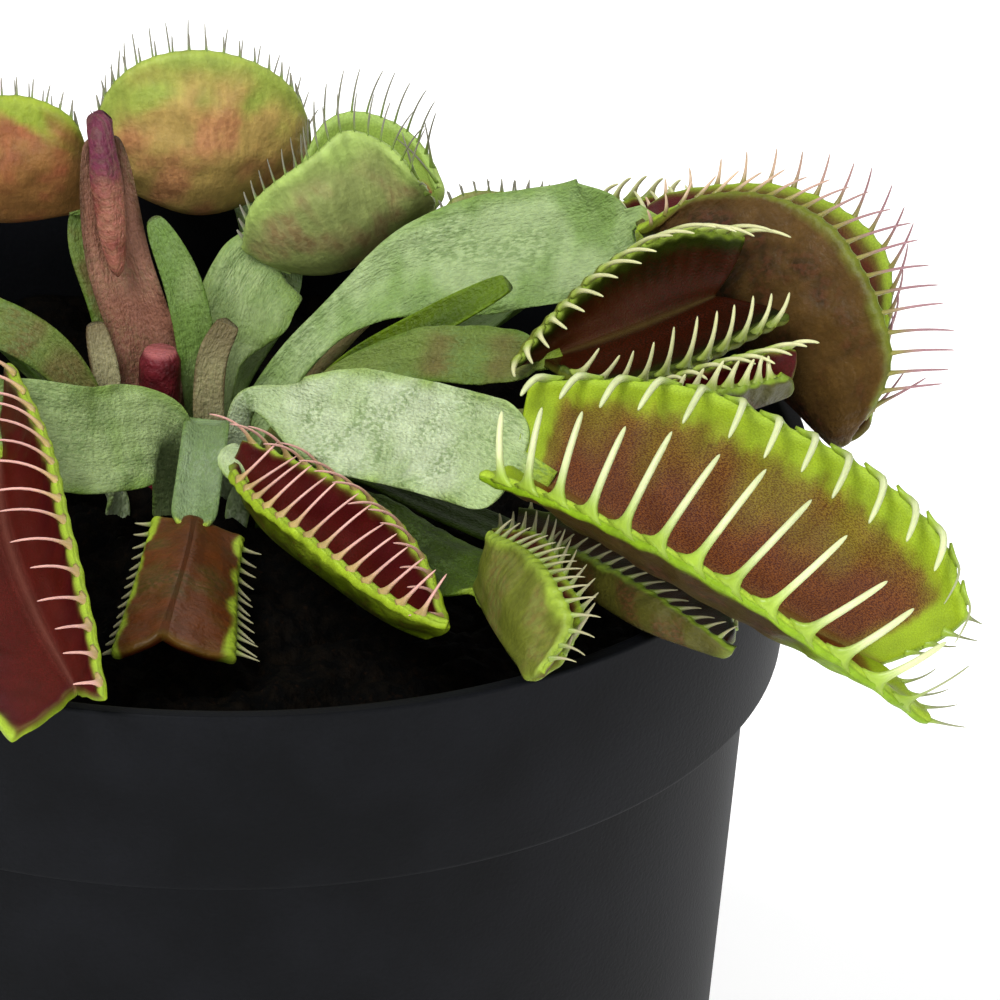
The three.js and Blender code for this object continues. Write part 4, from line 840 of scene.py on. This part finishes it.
def add_stalk(skin, leaf, look, seed):
    """A midrib with two thin wings, which run out over the trap's first tenth."""
    colours = look["stalk"]
    beyond = [Curve(leaf["trap"]["rib"]).at(0.1)] if "trap" in leaf else []
    curve = Curve([*leaf["path"], *beyond])
    start, end = leaf["shoulder"]
    turn = start + (end - start) * np.sin(np.linspace(0, 1, SHOULDER_ROWS) * math.pi / 2)
    blade = np.linspace(0, start, STALK_ROWS)
    t = np.unique(np.concatenate([blade, turn, np.linspace(end, 1, NECK_ROWS)]))
    tangent = curve.along(t)
    up = np.array(leaf["up"], float)
    normal = unit(up - tangent * (tangent @ up)[:, None])
    side = np.cross(normal, tangent)
    half = stalk_width(leaf, t) / 2
    u = ACROSS[None, :, None]
    fold = math.radians(leaf["fold"])
    rise = half * math.sin(fold)
    reach = half * math.cos(fold)
    bowl = np.sqrt(u**2 + 0.03)  # the wings rise from the midrib in a soft fold
    middle = curve.at(t)[:, None] + side[:, None] * reach[:, None, None] * u
    middle = middle + normal[:, None] * rise[:, None, None] * bowl
    # The edges wave a little, more where the blade is wide.
    wave = ripple(middle, 7, seed) * 0.5 + ripple(middle, 3, seed + 1) * 0.18
    flat = smoothstep(1.2, 3.5, half)[:, None] * smoothstep(0.3, 1, np.abs(ACROSS))[None]
    middle = middle + normal[:, None] * (wave * flat)[..., None]
    # Long veins run beside the midrib, as faint ribs.
    veins = 0.05 * np.cos(ACROSS * half[:, None] * 2 * math.pi / VEIN_PITCH) * (half > 1.2)[:, None]
    rib = np.exp(-((ACROSS * half[:, None] / RIB_WIDTH) ** 2))
    rounded = np.sqrt(1 - np.abs(ACROSS) ** 10)
    upper = (STALK_EDGE / 2 * rounded + 0.05 * rib + veins * rounded)[..., None]
    lower = (STALK_EDGE / 2 * rounded + (STALK_RIB - STALK_EDGE) * rib * rounded)[..., None]
    over = middle + normal[:, None] * upper
    under = middle - normal[:, None] * lower
    rings = np.concatenate([over, under[:, ::-1]], axis=1)
    paint = stalk_paint(colours, rings, t, seed)
    if "trap" in leaf:
        neck = smoothstep(0.95, 0.975, t)[:, None] + 0 * rings[..., 0]
        paint = mix(paint, look["inside"]["rim"], neck)
    grain = colours["specks"] * smoothstep(-0.6, 0.8, ripple(rings, 5, seed + 5))
    reach = np.concatenate([ACROSS, ACROSS[::-1]])[None] * half[:, None]
    below = np.concatenate([ACROSS * 0, ACROSS * 0 + 9])[None]
    flow = joined((t * curve.length)[:, None], reach, below + seed)
    skin.tube(rings, paint, grain, STALK, flow)


def stalk_paint(colours, rings, t, seed):
    """Patches on the face, greener edges and neck, and a pale line along the midrib."""
    across = np.abs(np.concatenate([ACROSS, ACROSS[::-1]]))[None]
    under = np.concatenate([ACROSS * 0, ACROSS * 0 + 1])[None]
    patch = 0.85 * smoothstep(-0.5, 1.2, ripple(rings, 8, seed + 2) + 0.5 * ripple(rings, 2.5, seed + 3))
    paint = mix(colours["face"], colours["patch"], patch)
    edge = smoothstep(0.7, 1, across) * (0.6 + 0.4 * ripple(rings, 4, seed + 4))
    paint = mix(paint, colours["edge"], np.clip(edge, 0, 1))
    neck = smoothstep(0.8, 1, t)[:, None]
    paint = mix(paint, colours["edge"], 0.6 * neck + 0.3 * under * (1 - neck))
    pale = 0.25 * np.exp(-((across / 0.1) ** 2)) * (1 - under)
    return mix(paint, paint * 1.25 + 0.02, pale + 0 * neck)


# ---------------------------------------------------------------- trap
LOBE_HALF = 0.36  # half a lobe's thickness
END_CROWN = 0.5  # how far a lobe's ends round out
# Where a lobe's points lie between midrib and margin, and where a tooth's rings lie along it.
DEPTHS = np.concatenate([np.linspace(0, 0.88, 20), [0.92, 0.955, 0.98, 0.993, 1]])
TOOTH_RISE = np.array([0, 0.04, 0.08, 0.13, 0.19, 0.27, 0.37, 0.48, 0.6, 0.72, 0.84, 0.93, 0.98, 1])
TOOTH_SIDES = 8
ROWS_PER_TOOTH = 10  # rings of a trap's skin
END_HAIRS = (0.3, 0.5, 0.7, 0.95)  # places of the hairs past a margin's last tooth
END_HAIR_LENGTH = 3.2
BOX_GAP = 0.15  # how far a hair stays inside the model's box


class Lobe:
    """One lobe's surface: s runs along the trap, v from the midrib to the margin."""

    def __init__(self, trap, i, look):
        self.rib = Curve(trap["rib"])
        margins = [Curve(points) for points in trap["lobes"]]
        self.margin = margins[i]
        middle = self.rib.at(0.5)
        along = self.rib.along(0.5)
        mouth = sum(unit(margin.at(0.5) - middle) for margin in margins)
        mouth = unit(mouth - along * (mouth @ along))
        left = np.cross(mouth, along)
        self.hand = 1 if (self.margin.at(0.5) - middle) @ left > 0 else -1
        self.belly = trap["bulge"][i]
        self.curl = math.radians(trap["curl"][i])
        self.rise = 0.8 if trap["curl"][i] > 90 else 0.5  # how much a tooth first stands up
        self.lean = trap["lean"][i]
        self.flare = look["teeth"]["flare"]
        self.lengths = trap["tooth"][i]
        self.teeth = round(trap["teeth"][i] * look["comb"])
        self.shift = 0.5 if self.hand > 0 else 0.9  # so the rows' teeth cross each other

    def point(self, s, v):
        """Straight from midrib to margin, but bellied outwards and rounded out at the tip."""
        start = self.rib.at(s)
        across = self.margin.at(s) - start
        run = self.rib.along(s) + self.margin.along(s)
        inward = unit(np.cross(run, across)) * self.hand
        swell = self.belly * np.sin(math.pi * v**0.8) * np.sin(math.pi * np.clip(s, 0, 1)) ** 0.6
        crown = END_CROWN * np.sin(math.pi * v) * smoothstep(0.8, 1, s)
        here = start + across * np.asarray(v)[..., None] - inward * np.asarray(swell)[..., None]
        return here + unit(run) * np.asarray(crown)[..., None]

    def normal(self, s, v):
        """The way the inner face looks."""
        step = 0.012
        a = self.point(np.minimum(1, s + step), v) - self.point(np.maximum(0, s - step), v)
        b = self.point(s, np.minimum(1, v + step)) - self.point(s, np.maximum(0, v - step))
        return unit(np.cross(a, b)) * self.hand


def lobe_faces(lobe, s, seed):
    """Inner and outer points of one lobe, for each s and each of DEPTHS."""
    s, v = np.meshgrid(s, DEPTHS, indexing="ij")
    depth = np.linalg.norm(lobe.margin.at(s[:, 0]) - lobe.rib.at(s[:, 0]), axis=1)[:, None]
    beat = 2 * math.pi * (s * lobe.teeth - lobe.shift)
    # The margin dips between the teeth.
    dip = 0.3 * lobe.flare / depth * (0.5 - 0.5 * np.cos(beat))
    pulled = v * (1 - dip * v**6)
    middle = lobe.point(s, pulled)
    normal = lobe.normal(s, pulled)
    # Faint ribs run from the midrib to the margin.
    ribs = 0.05 * lobe.flare * np.sin(beat) * smoothstep(0.2, 0.8, v)
    swell = 0.12 * ripple(middle, 4, seed) * smoothstep(0.1, 0.4, v) * (1 - smoothstep(0.8, 1, v))
    middle = middle + normal * (ribs + swell)[..., None]
    to_margin = (1 - v) * depth
    to_end = np.minimum(s, 1 - s) * lobe.rib.length
    edge = np.minimum(to_margin, to_end + 0.1)
    rounded = np.sqrt(np.clip(1 - (1 - np.clip(edge / 0.4, 0, 1)) ** 2, 0.04, 1))
    lip = 1 + 0.25 * np.exp(-(((to_margin - 0.5) / 0.35) ** 2))
    half = LOBE_HALF * rounded * lip
    fold = smoothstep(0.0, 1.2, v * depth)
    inner = middle + normal * (half * (0.3 + 0.7 * fold))[..., None]
    outer = middle - normal * (half + 0.3 * (1 - fold))[..., None]
    return inner, outer


def add_trap(skin, trap, look, seed):
    """Two lobes, joined along the midrib as one skin, and their teeth. The left one comes first."""
    lobes = [Lobe(trap, i, look) for i in range(2)]
    second = lobes[1].hand
    lobes.sort(key=lambda lobe: -lobe.hand)
    count = ROWS_PER_TOOTH * max(lobe.teeth for lobe in lobes)
    # The rings lie a little closer together at the trap's ends.
    s = (1 - np.cos(np.linspace(0, math.pi, count))) / 2 * 0.25 + np.linspace(0, 1, count) * 0.75
    faces = [lobe_faces(lobe, s, seed + k) for k, lobe in enumerate(lobes)]
    (left_in, left_out), (right_in, right_out) = faces
    fold_in = (left_in[:, :1] + right_in[:, :1]) / 2
    fold_out = (left_out[:, :1] + right_out[:, :1]) / 2
    inner = np.concatenate([left_in[:, :0:-1], fold_in, right_in[:, 1:]], axis=1)
    outer = np.concatenate([left_out[:, :0:-1], fold_out, right_out[:, 1:]], axis=1)
    v = np.concatenate([DEPTHS[:0:-1], DEPTHS])[None]
    inner_paint, inner_grain = inside_paint(look["inside"], inner, v, s[:, None], seed)
    outer_paint, outer_grain = outside_paint(look["outside"], outer, v, s[:, None], lobes[0].teeth, seed)
    width = inner.shape[1]
    hand = np.sign(width // 2 - np.arange(width))  # 1 on the left lobe, -1 on the right one
    # Painted shade: the second lobe's inside is darkened by the look's second.
    inner_paint = inner_paint * (1 - look["inside"]["second"] * (hand == second))[None, :, None]
    rings = np.concatenate([inner, outer[:, ::-1]], axis=1)
    paint = np.concatenate([inner_paint, outer_paint[:, ::-1]], axis=1)
    grain = np.concatenate([inner_grain, outer_grain[:, ::-1]], axis=1)
    slots = np.array([INSIDE] * (width - 1) + [OUTSIDE] * (width + 1))
    down = v * lobes[0].margin.length / 3
    along = (s * lobes[0].rib.length)[:, None]
    flow = joined(down, along, seed)
    side = np.broadcast_to(-hand[None, :, None] * [0, 0, 7], flow.shape)
    flow = np.concatenate([flow + side, (flow + side + [0, 0, 3])[:, ::-1]], axis=1)
    skin.tube(rings, paint, grain, slots, flow)
    for lobe in lobes:
        add_teeth(skin, lobe, look["teeth"], seed)


def inside_paint(colours, points, v, s, seed):
    """The lobes' inside paint and grain, with painted shade at the tip and a painted highlight on the fold.
    """
    end = np.abs(2 * s - 1)
    reach = np.maximum(v, smoothstep(*colours["ends"], end) * 1.02)
    ragged = reach + 0.025 * ripple(points, 2.4, seed + 11) + 0.02 * ripple(points, 0.8, seed + 12)
    border = smoothstep(1 - colours["share"] - 0.12, 1 - colours["share"] + 0.05, ragged)
    out = smoothstep(0.3, 0.8, reach + 0.15 * ripple(points, 5, seed + 14))
    paint = mix(mix(colours["deep"], colours["middle"], out), colours["border"], border)
    # Painted shade: the inside darkens towards the trap's tip, on top of a random change of tone.
    tip_painted_shade = 1 - colours["tip_painted_shade"] * smoothstep(0.15, 0.8, s)
    shade = (1 + 0.1 * ripple(points, 3, seed + 13)) * tip_painted_shade
    paint = mix(paint * shade[..., None], colours["rim"], smoothstep(0.9, 0.99, v) + 0 * border)
    # The fold's line: a pale midrib with a painted highlight along it.
    fold = np.exp(-((v / 0.04) ** 2)) + 0 * border
    grain = (0.9 - 0.35 * out) * (1 - border) * (1 - 0.6 * fold)
    return mix(paint, colours["fold"], 0.6 * fold), grain


def outside_paint(colours, points, v, s, teeth, seed):
    """The lobes' outside paint and grain, with painted shade near the fold."""
    end = np.abs(2 * s - 1)
    field = ripple(points, 5, seed + 21) + 0.5 * ripple(points, 1.8, seed + 22)
    blush = smoothstep(1 - 2 * colours["share"] - 0.7, 1 - 2 * colours["share"] + 1.1, field)
    blush = blush * (1 - smoothstep(0.72, 0.95, v)) * (1 - smoothstep(0.85, 1, end))
    # Painted shade: the face darkens towards the fold, by the look's shade.
    shade = 1.05 - colours["shade"] * (1 - smoothstep(0, 0.8, v))
    paint = mix(colours["face"], colours["blush"], blush) * shade[..., None]
    wavy = v + 0.3 * (1 - colours["start"]) * ripple(points, 3, seed + 24)
    rim = smoothstep(colours["start"], colours["start"] + colours["reach"], wavy)
    tip = smoothstep(colours["tip"] - 0.08, colours["tip"] + 0.08, s)
    ends = smoothstep(0.9, 1.05, end) * colours["ends"] + tip
    paint = mix(paint, colours["rim"], np.clip(rim + ends, 0, 1))
    stripes = 0.03 * np.sin(2 * math.pi * s * teeth) * smoothstep(0.1, 0.5, v)
    lightness = 1 + stripes + 0.08 * ripple(points, 2.5, seed + 23)
    return paint * lightness[..., None], 0.3 * blush * (1 - rim)


def add_tooth(skin, root, outward, way, run, length, rise, shape, flow_place):
    """A tooth that leaves its root along outward and bends over to the way of its tip. run: along the
    margin. shape: its colours and half its width, how blunt it is and how far its foot flares."""
    tip = root + way * length
    knee = root + unit(outward * rise + way) * length * 0.5
    foot = root - outward * 0.3
    h = TOOTH_RISE[:, None]
    middle = foot * (1 - h) ** 2 + knee * 2 * h * (1 - h) + tip * h**2
    way_here = unit((knee - foot) * (1 - h) + (tip - knee) * h)
    broad = unit(run - way_here * (way_here @ run)[:, None])
    deep = np.cross(way_here, broad)
    angle = 2 * math.pi * np.arange(TOOTH_SIDES) / TOOTH_SIDES + math.pi / TOOTH_SIDES
    half = shape["half"]
    core = half * (1 - (1 - shape["blunt"]) * h) * np.sqrt(1 - 0.98 * h**12)
    flare = max(shape["flare"] - half, 0) * np.exp(-h * length / min(0.4, 0.2 * length))
    thick = np.minimum(core * 0.95, 0.32) + (0.3 - min(half, 0.3)) * np.exp(-h * length / 0.5)
    x = (core + flare)[:, None] * np.cos(angle)[None, :, None]
    y = thick[:, None] * np.sin(angle)[None, :, None]
    rings = middle[:, None] + broad[:, None] * x + deep[:, None] * y
    paint = mix(shape["foot"], shape["tip"], smoothstep(0.05, 0.5, h))
    flow = joined(h * length, half * angle[None], flow_place)
    skin.tube(rings, paint, 0.0, TEETH, flow)


def add_teeth(skin, lobe, colours, seed):
    """The row of teeth on one lobe's margin."""
    draw = np.random.default_rng(seed + 31 + lobe.hand)
    places = (np.arange(lobe.teeth - (0 if lobe.hand > 0 else 1)) + lobe.shift) / lobe.teeth
    pitch = lobe.margin.length / lobe.teeth
    for s in places:
        root = lobe.point(s, 1.0)
        outward = unit(root - lobe.point(s, 0.85))
        inward = lobe.normal(s, 1.0)
        run = unit(lobe.point(min(1, s + 0.02), 1.0) - lobe.point(max(0, s - 0.02), 1.0))
        length = np.interp(s, [0, 0.5, 1], lobe.lengths) * draw.uniform(0.9, 1.0)
        curl = lobe.curl + math.radians(draw.uniform(-7, 7))
        way = outward * math.cos(curl) + inward * math.sin(curl)
        lean = lobe.lean[0] + (lobe.lean[1] - lobe.lean[0]) * s
        way = unit(way + run * (lean + draw.uniform(-0.06, 0.06)))
        hair = 1 - 0.7 * smoothstep(colours["hairs"] - 0.02, colours["hairs"] + 0.04, s)
        shade = draw.uniform(0.9, 1.05)
        tip = mix(colours["first"], colours["tip"], smoothstep(0.15, 0.55, s))
        shape = {
            "foot": colours["foot"] * shade, "tip": tip * shade * (0.35 + 0.65 * hair),
            "half": colours["half"] * hair, "blunt": colours["blunt"],
            "flare": pitch * 0.5 * colours["flare"],
        }
        add_tooth(skin, root, outward, way, run, length, lobe.rise, shape, s * 40 + seed)
    if colours["hairs"] < 1:
        add_end_hairs(skin, lobe, colours, draw, seed)


def length_inside(root, way, length):
    """The length, cut where it would leave the model's box."""
    low, high = (np.array(corner) / MM for corner in model_box)
    room = np.where(way > 0, high - BOX_GAP - root, low + BOX_GAP - root) / way
    return min(length, room.min())


def add_end_hairs(skin, lobe, colours, draw, seed):
    """A few hair-like teeth on the lobe's end, past the last of its margin's teeth."""
    shape = {"foot": colours["foot"], "tip": colours["tip"] * 0.35, "half": 0.1, "blunt": 0.4, "flare": 0.5}
    for v in END_HAIRS:
        root = lobe.point(1.0, v)
        run = lobe.rib.along(1.0)
        inward = lobe.normal(1.0, v)
        across = unit(root - lobe.point(1.0, v - 0.1))
        way = unit(run + inward * (1.3 - v) + across * draw.uniform(-0.1, 0.1))
        length = length_inside(root, way, END_HAIR_LENGTH * draw.uniform(0.8, 1.0))
        add_tooth(skin, root, run, way, across, length, 0.5, shape, v * 40 + seed)


# ---------------------------------------------------------------- bud and stump, as round rods
ROD_SIDES = 24
ROD_ROWS = 48


def add_rod(skin, curve, radius, paint, flute=0.0, grain=0.1):
    """A round rod along a curve. radius: a function of the share of its length, and paint: one of that
    and its rings. flute: how deep the five grooves along it are, as a share of its radius."""
    t = np.linspace(0, 1, ROD_ROWS)
    way = curve.along(t)
    across = unit(np.cross(way, [0.3, 1, 0.2]))
    deep = np.cross(way, across)
    angle = 2 * math.pi * np.arange(ROD_SIDES) / ROD_SIDES + math.pi / ROD_SIDES
    r = radius(t)[:, None] * (1 + flute * np.cos(5 * angle)[None])
    rings = curve.at(t)[:, None] + across[:, None] * (r * np.cos(angle))[..., None]
    rings = rings + deep[:, None] * (r * np.sin(angle))[..., None]
    flow = joined((t * curve.length)[:, None], r * np.sin(angle)[None], 0.0)
    skin.tube(rings, paint(t, rings), grain, STALK, flow)


def add_bud(skin, leaf):
    """The unopened trap, folded down along the front of its stalk, and the bend that it hangs from."""
    places = (leaf["bud"]["top"], leaf["bud"]["bottom"], leaf["path"][-1])
    top, bottom, end = (np.array(place, float) for place in places)
    down = unit(bottom - top)
    over = (end + top) / 2 - down * 1.2
    curve = Curve([end + down * 3, end - down * 0.2, over, top, top + (bottom - top) * 0.5, bottom])
    bend = 1 - np.linalg.norm(bottom - top) / curve.length

    def past_bend(t):
        return np.clip((t - bend) / (1 - bend), 0, 1)

    def girth(t):
        h = past_bend(t)
        body = 0.8 + 0.2 * smoothstep(0, 0.25, h)
        return leaf["bud"]["radius"] * body * np.sqrt(np.clip(1 - h**3.2, 0.003, 1))

    def paint(t, rings):
        h = past_bend(t)[:, None]
        low = mix(tint(146, 92, 78), tint(122, 66, 58), smoothstep(-0.2, 0.8, ripple(rings, 3, 5)))
        return mix(low, tint(98, 44, 62), 1 - smoothstep(0.1, 0.42, h + 0.05 * ripple(rings, 1.5, 6)))

    add_rod(skin, curve, girth, paint, flute=0.05)


def make_leaf(leaf, seed):
    """A whole leaf as one mesh, in place of the model's."""
    look = LOOKS[leaf["name"]]
    skin = Skin()
    add_stalk(skin, leaf, look, seed)
    if "trap" in leaf:
        add_trap(skin, leaf["trap"], look, seed + 40)
    if "bud" in leaf:
        add_bud(skin, leaf)
    name = leaf["name"]
    put(name + "_fine", skin.mesh(name + "_fine", LEAF_MATERIALS), SLOTS[name], name)


def make_stump():
    """The cut flower stalk, a little waisted, with a pale, flat cut that narrows at its edge."""
    low, high = (np.array(corner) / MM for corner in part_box("flower_stalk_stump"))
    x, y = (low[:2] + high[:2]) / 2
    radius = (high[0] - low[0]) / 2
    curve = Curve([[x, y, low[2]], [x, y, (low[2] + high[2]) / 2], [x, y, high[2]]])

    def girth(t):
        return radius * (1 - 0.06 * np.sin(math.pi * t)) * np.sqrt(np.clip(1 - t**60, 0.5, 1))

    def paint(t, rings):
        red = mix(tint(66, 14, 20), tint(96, 28, 36), smoothstep(-0.5, 1, ripple(rings, 2, 8)))
        return mix(red, tint(150, 84, 84), smoothstep(0.985, 1, t)[:, None] + 0 * red[..., 0])

    skin = Skin()
    add_rod(skin, curve, girth, paint, grain=0.0)
    put("stump_fine", skin.mesh("stump_fine", LEAF_MATERIALS), "red_stalk", "flower_stalk_stump")


# ---------------------------------------------------------------- pot
BAND_HEIGHT = 13.9
BAND_DRAFT = 1.4  # how much wider the band is at its top than at its foot
BAND_STEP = 2.1  # how far the band stands out from the body
BODY_TAPER = math.tan(math.radians(3))
WALL = 1.2
POT_SIDES = 240
CORNER_STEPS = 5
DRAIN_HOLES = 6
DRAIN_RADIUS = 2.4
DRAIN_CIRCLE = 24  # radius of the circle that the drain holes lie on
DRILL_LENGTH = 6
DRILL_SIDES = 24


def plastic():
    """Matt black moulded plastic with a fine grain and dusty streaks."""
    material, tree, shader = new_material("black_plastic", 0.55, 0.06)
    dusty = ramp(tree, noise(tree, 9, 6.0), (0.35, tint(15, 16, 18)), (0.75, tint(22, 23, 26)))
    grit = ramp(tree, noise(tree, 0.25, 2.0), (0.3, 0.85), (0.7, 1.15))
    tree.links.new(blended(tree, "MULTIPLY", 1.0, dusty, grit), shader.inputs["Base Color"])
    tree.links.new(bump(tree, noise(tree, 0.3, 3.0), 0.03), shader.inputs["Normal"])
    return material


def rounded_corner(before, corner, after, radius):
    """Points that round the corner of a profile."""
    before, corner, after = (np.array(p, float) for p in (before, corner, after))
    start = corner + unit(before - corner) * radius
    end = corner + unit(after - corner) * radius
    h = np.linspace(0, 1, CORNER_STEPS)[:, None]
    return start * (1 - h) ** 2 + corner * 2 * h * (1 - h) + end * h**2


def make_pot():
    """The pot, turned from its profile: its outside from the middle of the foot, then its inside."""
    rim, _, height = np.array(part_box("pot")[1]) / MM
    band = rim - BAND_DRAFT
    band_foot = height - BAND_HEIGHT
    body = band - BAND_STEP
    foot = body - band_foot * BODY_TAPER
    floor = WALL + 0.4
    corners = [
        ([0, 0], 0), ([foot, 0], 1.0), ([body, band_foot], 0.4), ([band, band_foot], 0.35),
        ([rim, height - 0.2], 0.1), ([rim - 0.1, height], 0.1), ([rim - WALL, height], 0.4),
        ([rim - WALL - BAND_DRAFT, band_foot + WALL + 2], 1), ([body - WALL, band_foot], 1),
        ([foot - WALL, floor], 1), ([0, floor], 0),
    ]
    profile = []
    for (before, _), (corner, radius), (after, _) in zip(corners, corners[1:], corners[2:]):
        profile.append(rounded_corner(before, corner, after, radius))
    r, z = np.vstack(profile).T[..., None]
    angle = 2 * math.pi * np.arange(POT_SIDES)[None] / POT_SIDES
    rows = joined(r * np.cos(angle), r * np.sin(angle), z)
    mesh = turned_mesh("pot_fine", rows, ([0, 0, 0], [0, 0, floor]))
    mesh.materials.append(plastic())
    piece = put("pot_fine", mesh, "black_plastic", "pot")
    drill_drain_holes(piece)
    piece.data.polygons.foreach_set("use_smooth", np.ones(len(piece.data.polygons), bool))
    piece.data.set_sharp_from_angle(angle=math.radians(40))


def drill_drain_holes(piece):
    """Cuts the drain holes through the pot's foot."""
    for i in range(DRAIN_HOLES):
        angle = 2 * math.pi * (i + 0.5) / DRAIN_HOLES
        x = DRAIN_CIRCLE * MM * math.cos(angle)
        y = DRAIN_CIRCLE * MM * math.sin(angle)
        bpy.ops.mesh.primitive_cylinder_add(
            vertices=DRILL_SIDES, radius=DRAIN_RADIUS * MM, depth=DRILL_LENGTH * MM, location=(x, y, MM)
        )
        drill = bpy.context.object
        cut = piece.modifiers.new("drain", "BOOLEAN")
        cut.operation = "DIFFERENCE"
        cut.object = drill
        bpy.context.view_layer.objects.active = piece
        bpy.ops.object.modifier_apply(modifier=cut.name)
        bpy.data.objects.remove(drill)


# ---------------------------------------------------------------- peat
PEAT_LEVEL = 67.5
PEAT_RINGS = 90
PEAT_SIDES = 220
PEAT_FOOT = 2.4
PEAT_FOOT_RADIUS = 35


def peat_material():
    """Moist peat: nearly black, with rusty fibres and a few paler grains."""
    material, tree, shader = new_material("peat", 0.8, 0.05)
    dark = ramp(tree, noise(tree, 1.2, 6.0), (0.4, tint(5, 5, 4)), (0.75, tint(21, 17, 12)))
    rusty = ramp(tree, noise(tree, 0.5, 3.0), (0.6, 0), (0.8, 0.5))
    tree.links.new(blended(tree, "MIX", rusty, dark, (*tint(38, 26, 16), 1)), shader.inputs["Base Color"])
    tree.links.new(bump(tree, noise(tree, 0.8, 6.0), 0.5), shader.inputs["Normal"])
    return material


def make_peat():
    """Lumpy peat with fine crumbs, down to the pot's foot."""
    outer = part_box("soil")[1][0] / MM
    r = np.linspace(0.02, 1, PEAT_RINGS)[:, None] * outer
    angle = 2 * math.pi * np.arange(PEAT_SIDES)[None] / PEAT_SIDES
    x = r * np.cos(angle)
    y = r * np.sin(angle)
    humps = np.sin(x * 0.71 + 1.3) * np.cos(y * 0.63 - 0.4)
    lumps = 0.7 * (humps + 0.6 * np.sin(x * 0.33 - y * 0.41 + 2.1))
    flat = joined(x, y, 0)
    rough = 0.5 * ripple(flat, 3.2, 71) + 0.3 * ripple(flat, 1.5, 72) + 0.2 * ripple(flat, 0.9, 73)
    fade = 1 - smoothstep(0.93, 1, r / outer)
    top = joined(x, y, PEAT_LEVEL + lumps + (rough - 0.25) * fade)
    wall = [(outer, 63), (outer - 2.2, 60), (PEAT_FOOT_RADIUS + 0.6, 4), (PEAT_FOOT_RADIUS, PEAT_FOOT)]
    r, z = np.array(wall).T[..., None]
    wall = joined(r * np.cos(angle), r * np.sin(angle), z)
    ends = ([0, 0, top[0, :, 2].mean()], [0, 0, PEAT_FOOT])
    mesh = turned_mesh("peat_fine", np.concatenate([top, wall]), ends, flip=True)
    mesh.polygons.foreach_set("use_smooth", np.ones(len(mesh.polygons), bool))
    mesh.materials.append(peat_material())
    put("peat_fine", mesh, "peat", "soil")


def dress_rhizome():
    """The buried stem keeps the model's shape and takes a skin."""
    mesh = frame["nodes"]["rhizome"].data
    mesh.materials.clear()
    mesh.materials.append(tissue("rhizome_skin", 0.12, (0.4, 3.0, 0.1), None, 1.0, 0.2, 0.6))


# ---------------------------------------------------------------- floor and light
LIT_PLACE = (0, 0, 0.08)  # where the lights are turned to


def make_floor():
    bpy.ops.mesh.primitive_plane_add(size=12, location=(0, 0, 0))
    floor = bpy.context.object
    floor.name = "floor"
    material, _, shader = new_material("floor", 0.9, 0.0)
    shader.inputs["Base Color"].default_value = (0.95, 0.95, 0.95, 1)
    shader.inputs["Emission Color"].default_value = (1, 1, 1, 1)
    shader.inputs["Emission Strength"].default_value = 0.4
    floor.data.materials.append(material)


def make_light(name, place, size, power):
    data = bpy.data.lights.new(name, "AREA")
    data.size = size
    data.energy = power
    light = bpy.data.objects.new(name, data)
    light.location = place
    light.rotation_euler = (Vector(LIT_PLACE) - Vector(place)).to_track_quat("-Z", "Y").to_euler()
    scene.collection.objects.link(light)


def make_light_room():
    world = bpy.data.worlds.new("studio")
    world.use_nodes = True
    sky = world.node_tree.nodes["Background"]
    sky.inputs["Color"].default_value = (1, 1, 1, 1)
    sky.inputs["Strength"].default_value = 0.45
    scene.world = world
    make_light("key", (-0.35, -0.5, 0.9), 0.4, 10)
    make_light("front", (0.15, -1.0, 0.35), 0.7, 5)
    make_light("back", (0.5, 0.7, 0.8), 0.5, 2.5)


# ---------------------------------------------------------------- the scene
make_camera()
make_pot()
make_peat()
dress_rhizome()
make_stump()
for number, leaf in enumerate(LEAVES):
    make_leaf(leaf, 100 * number)
make_floor()
make_light_room()
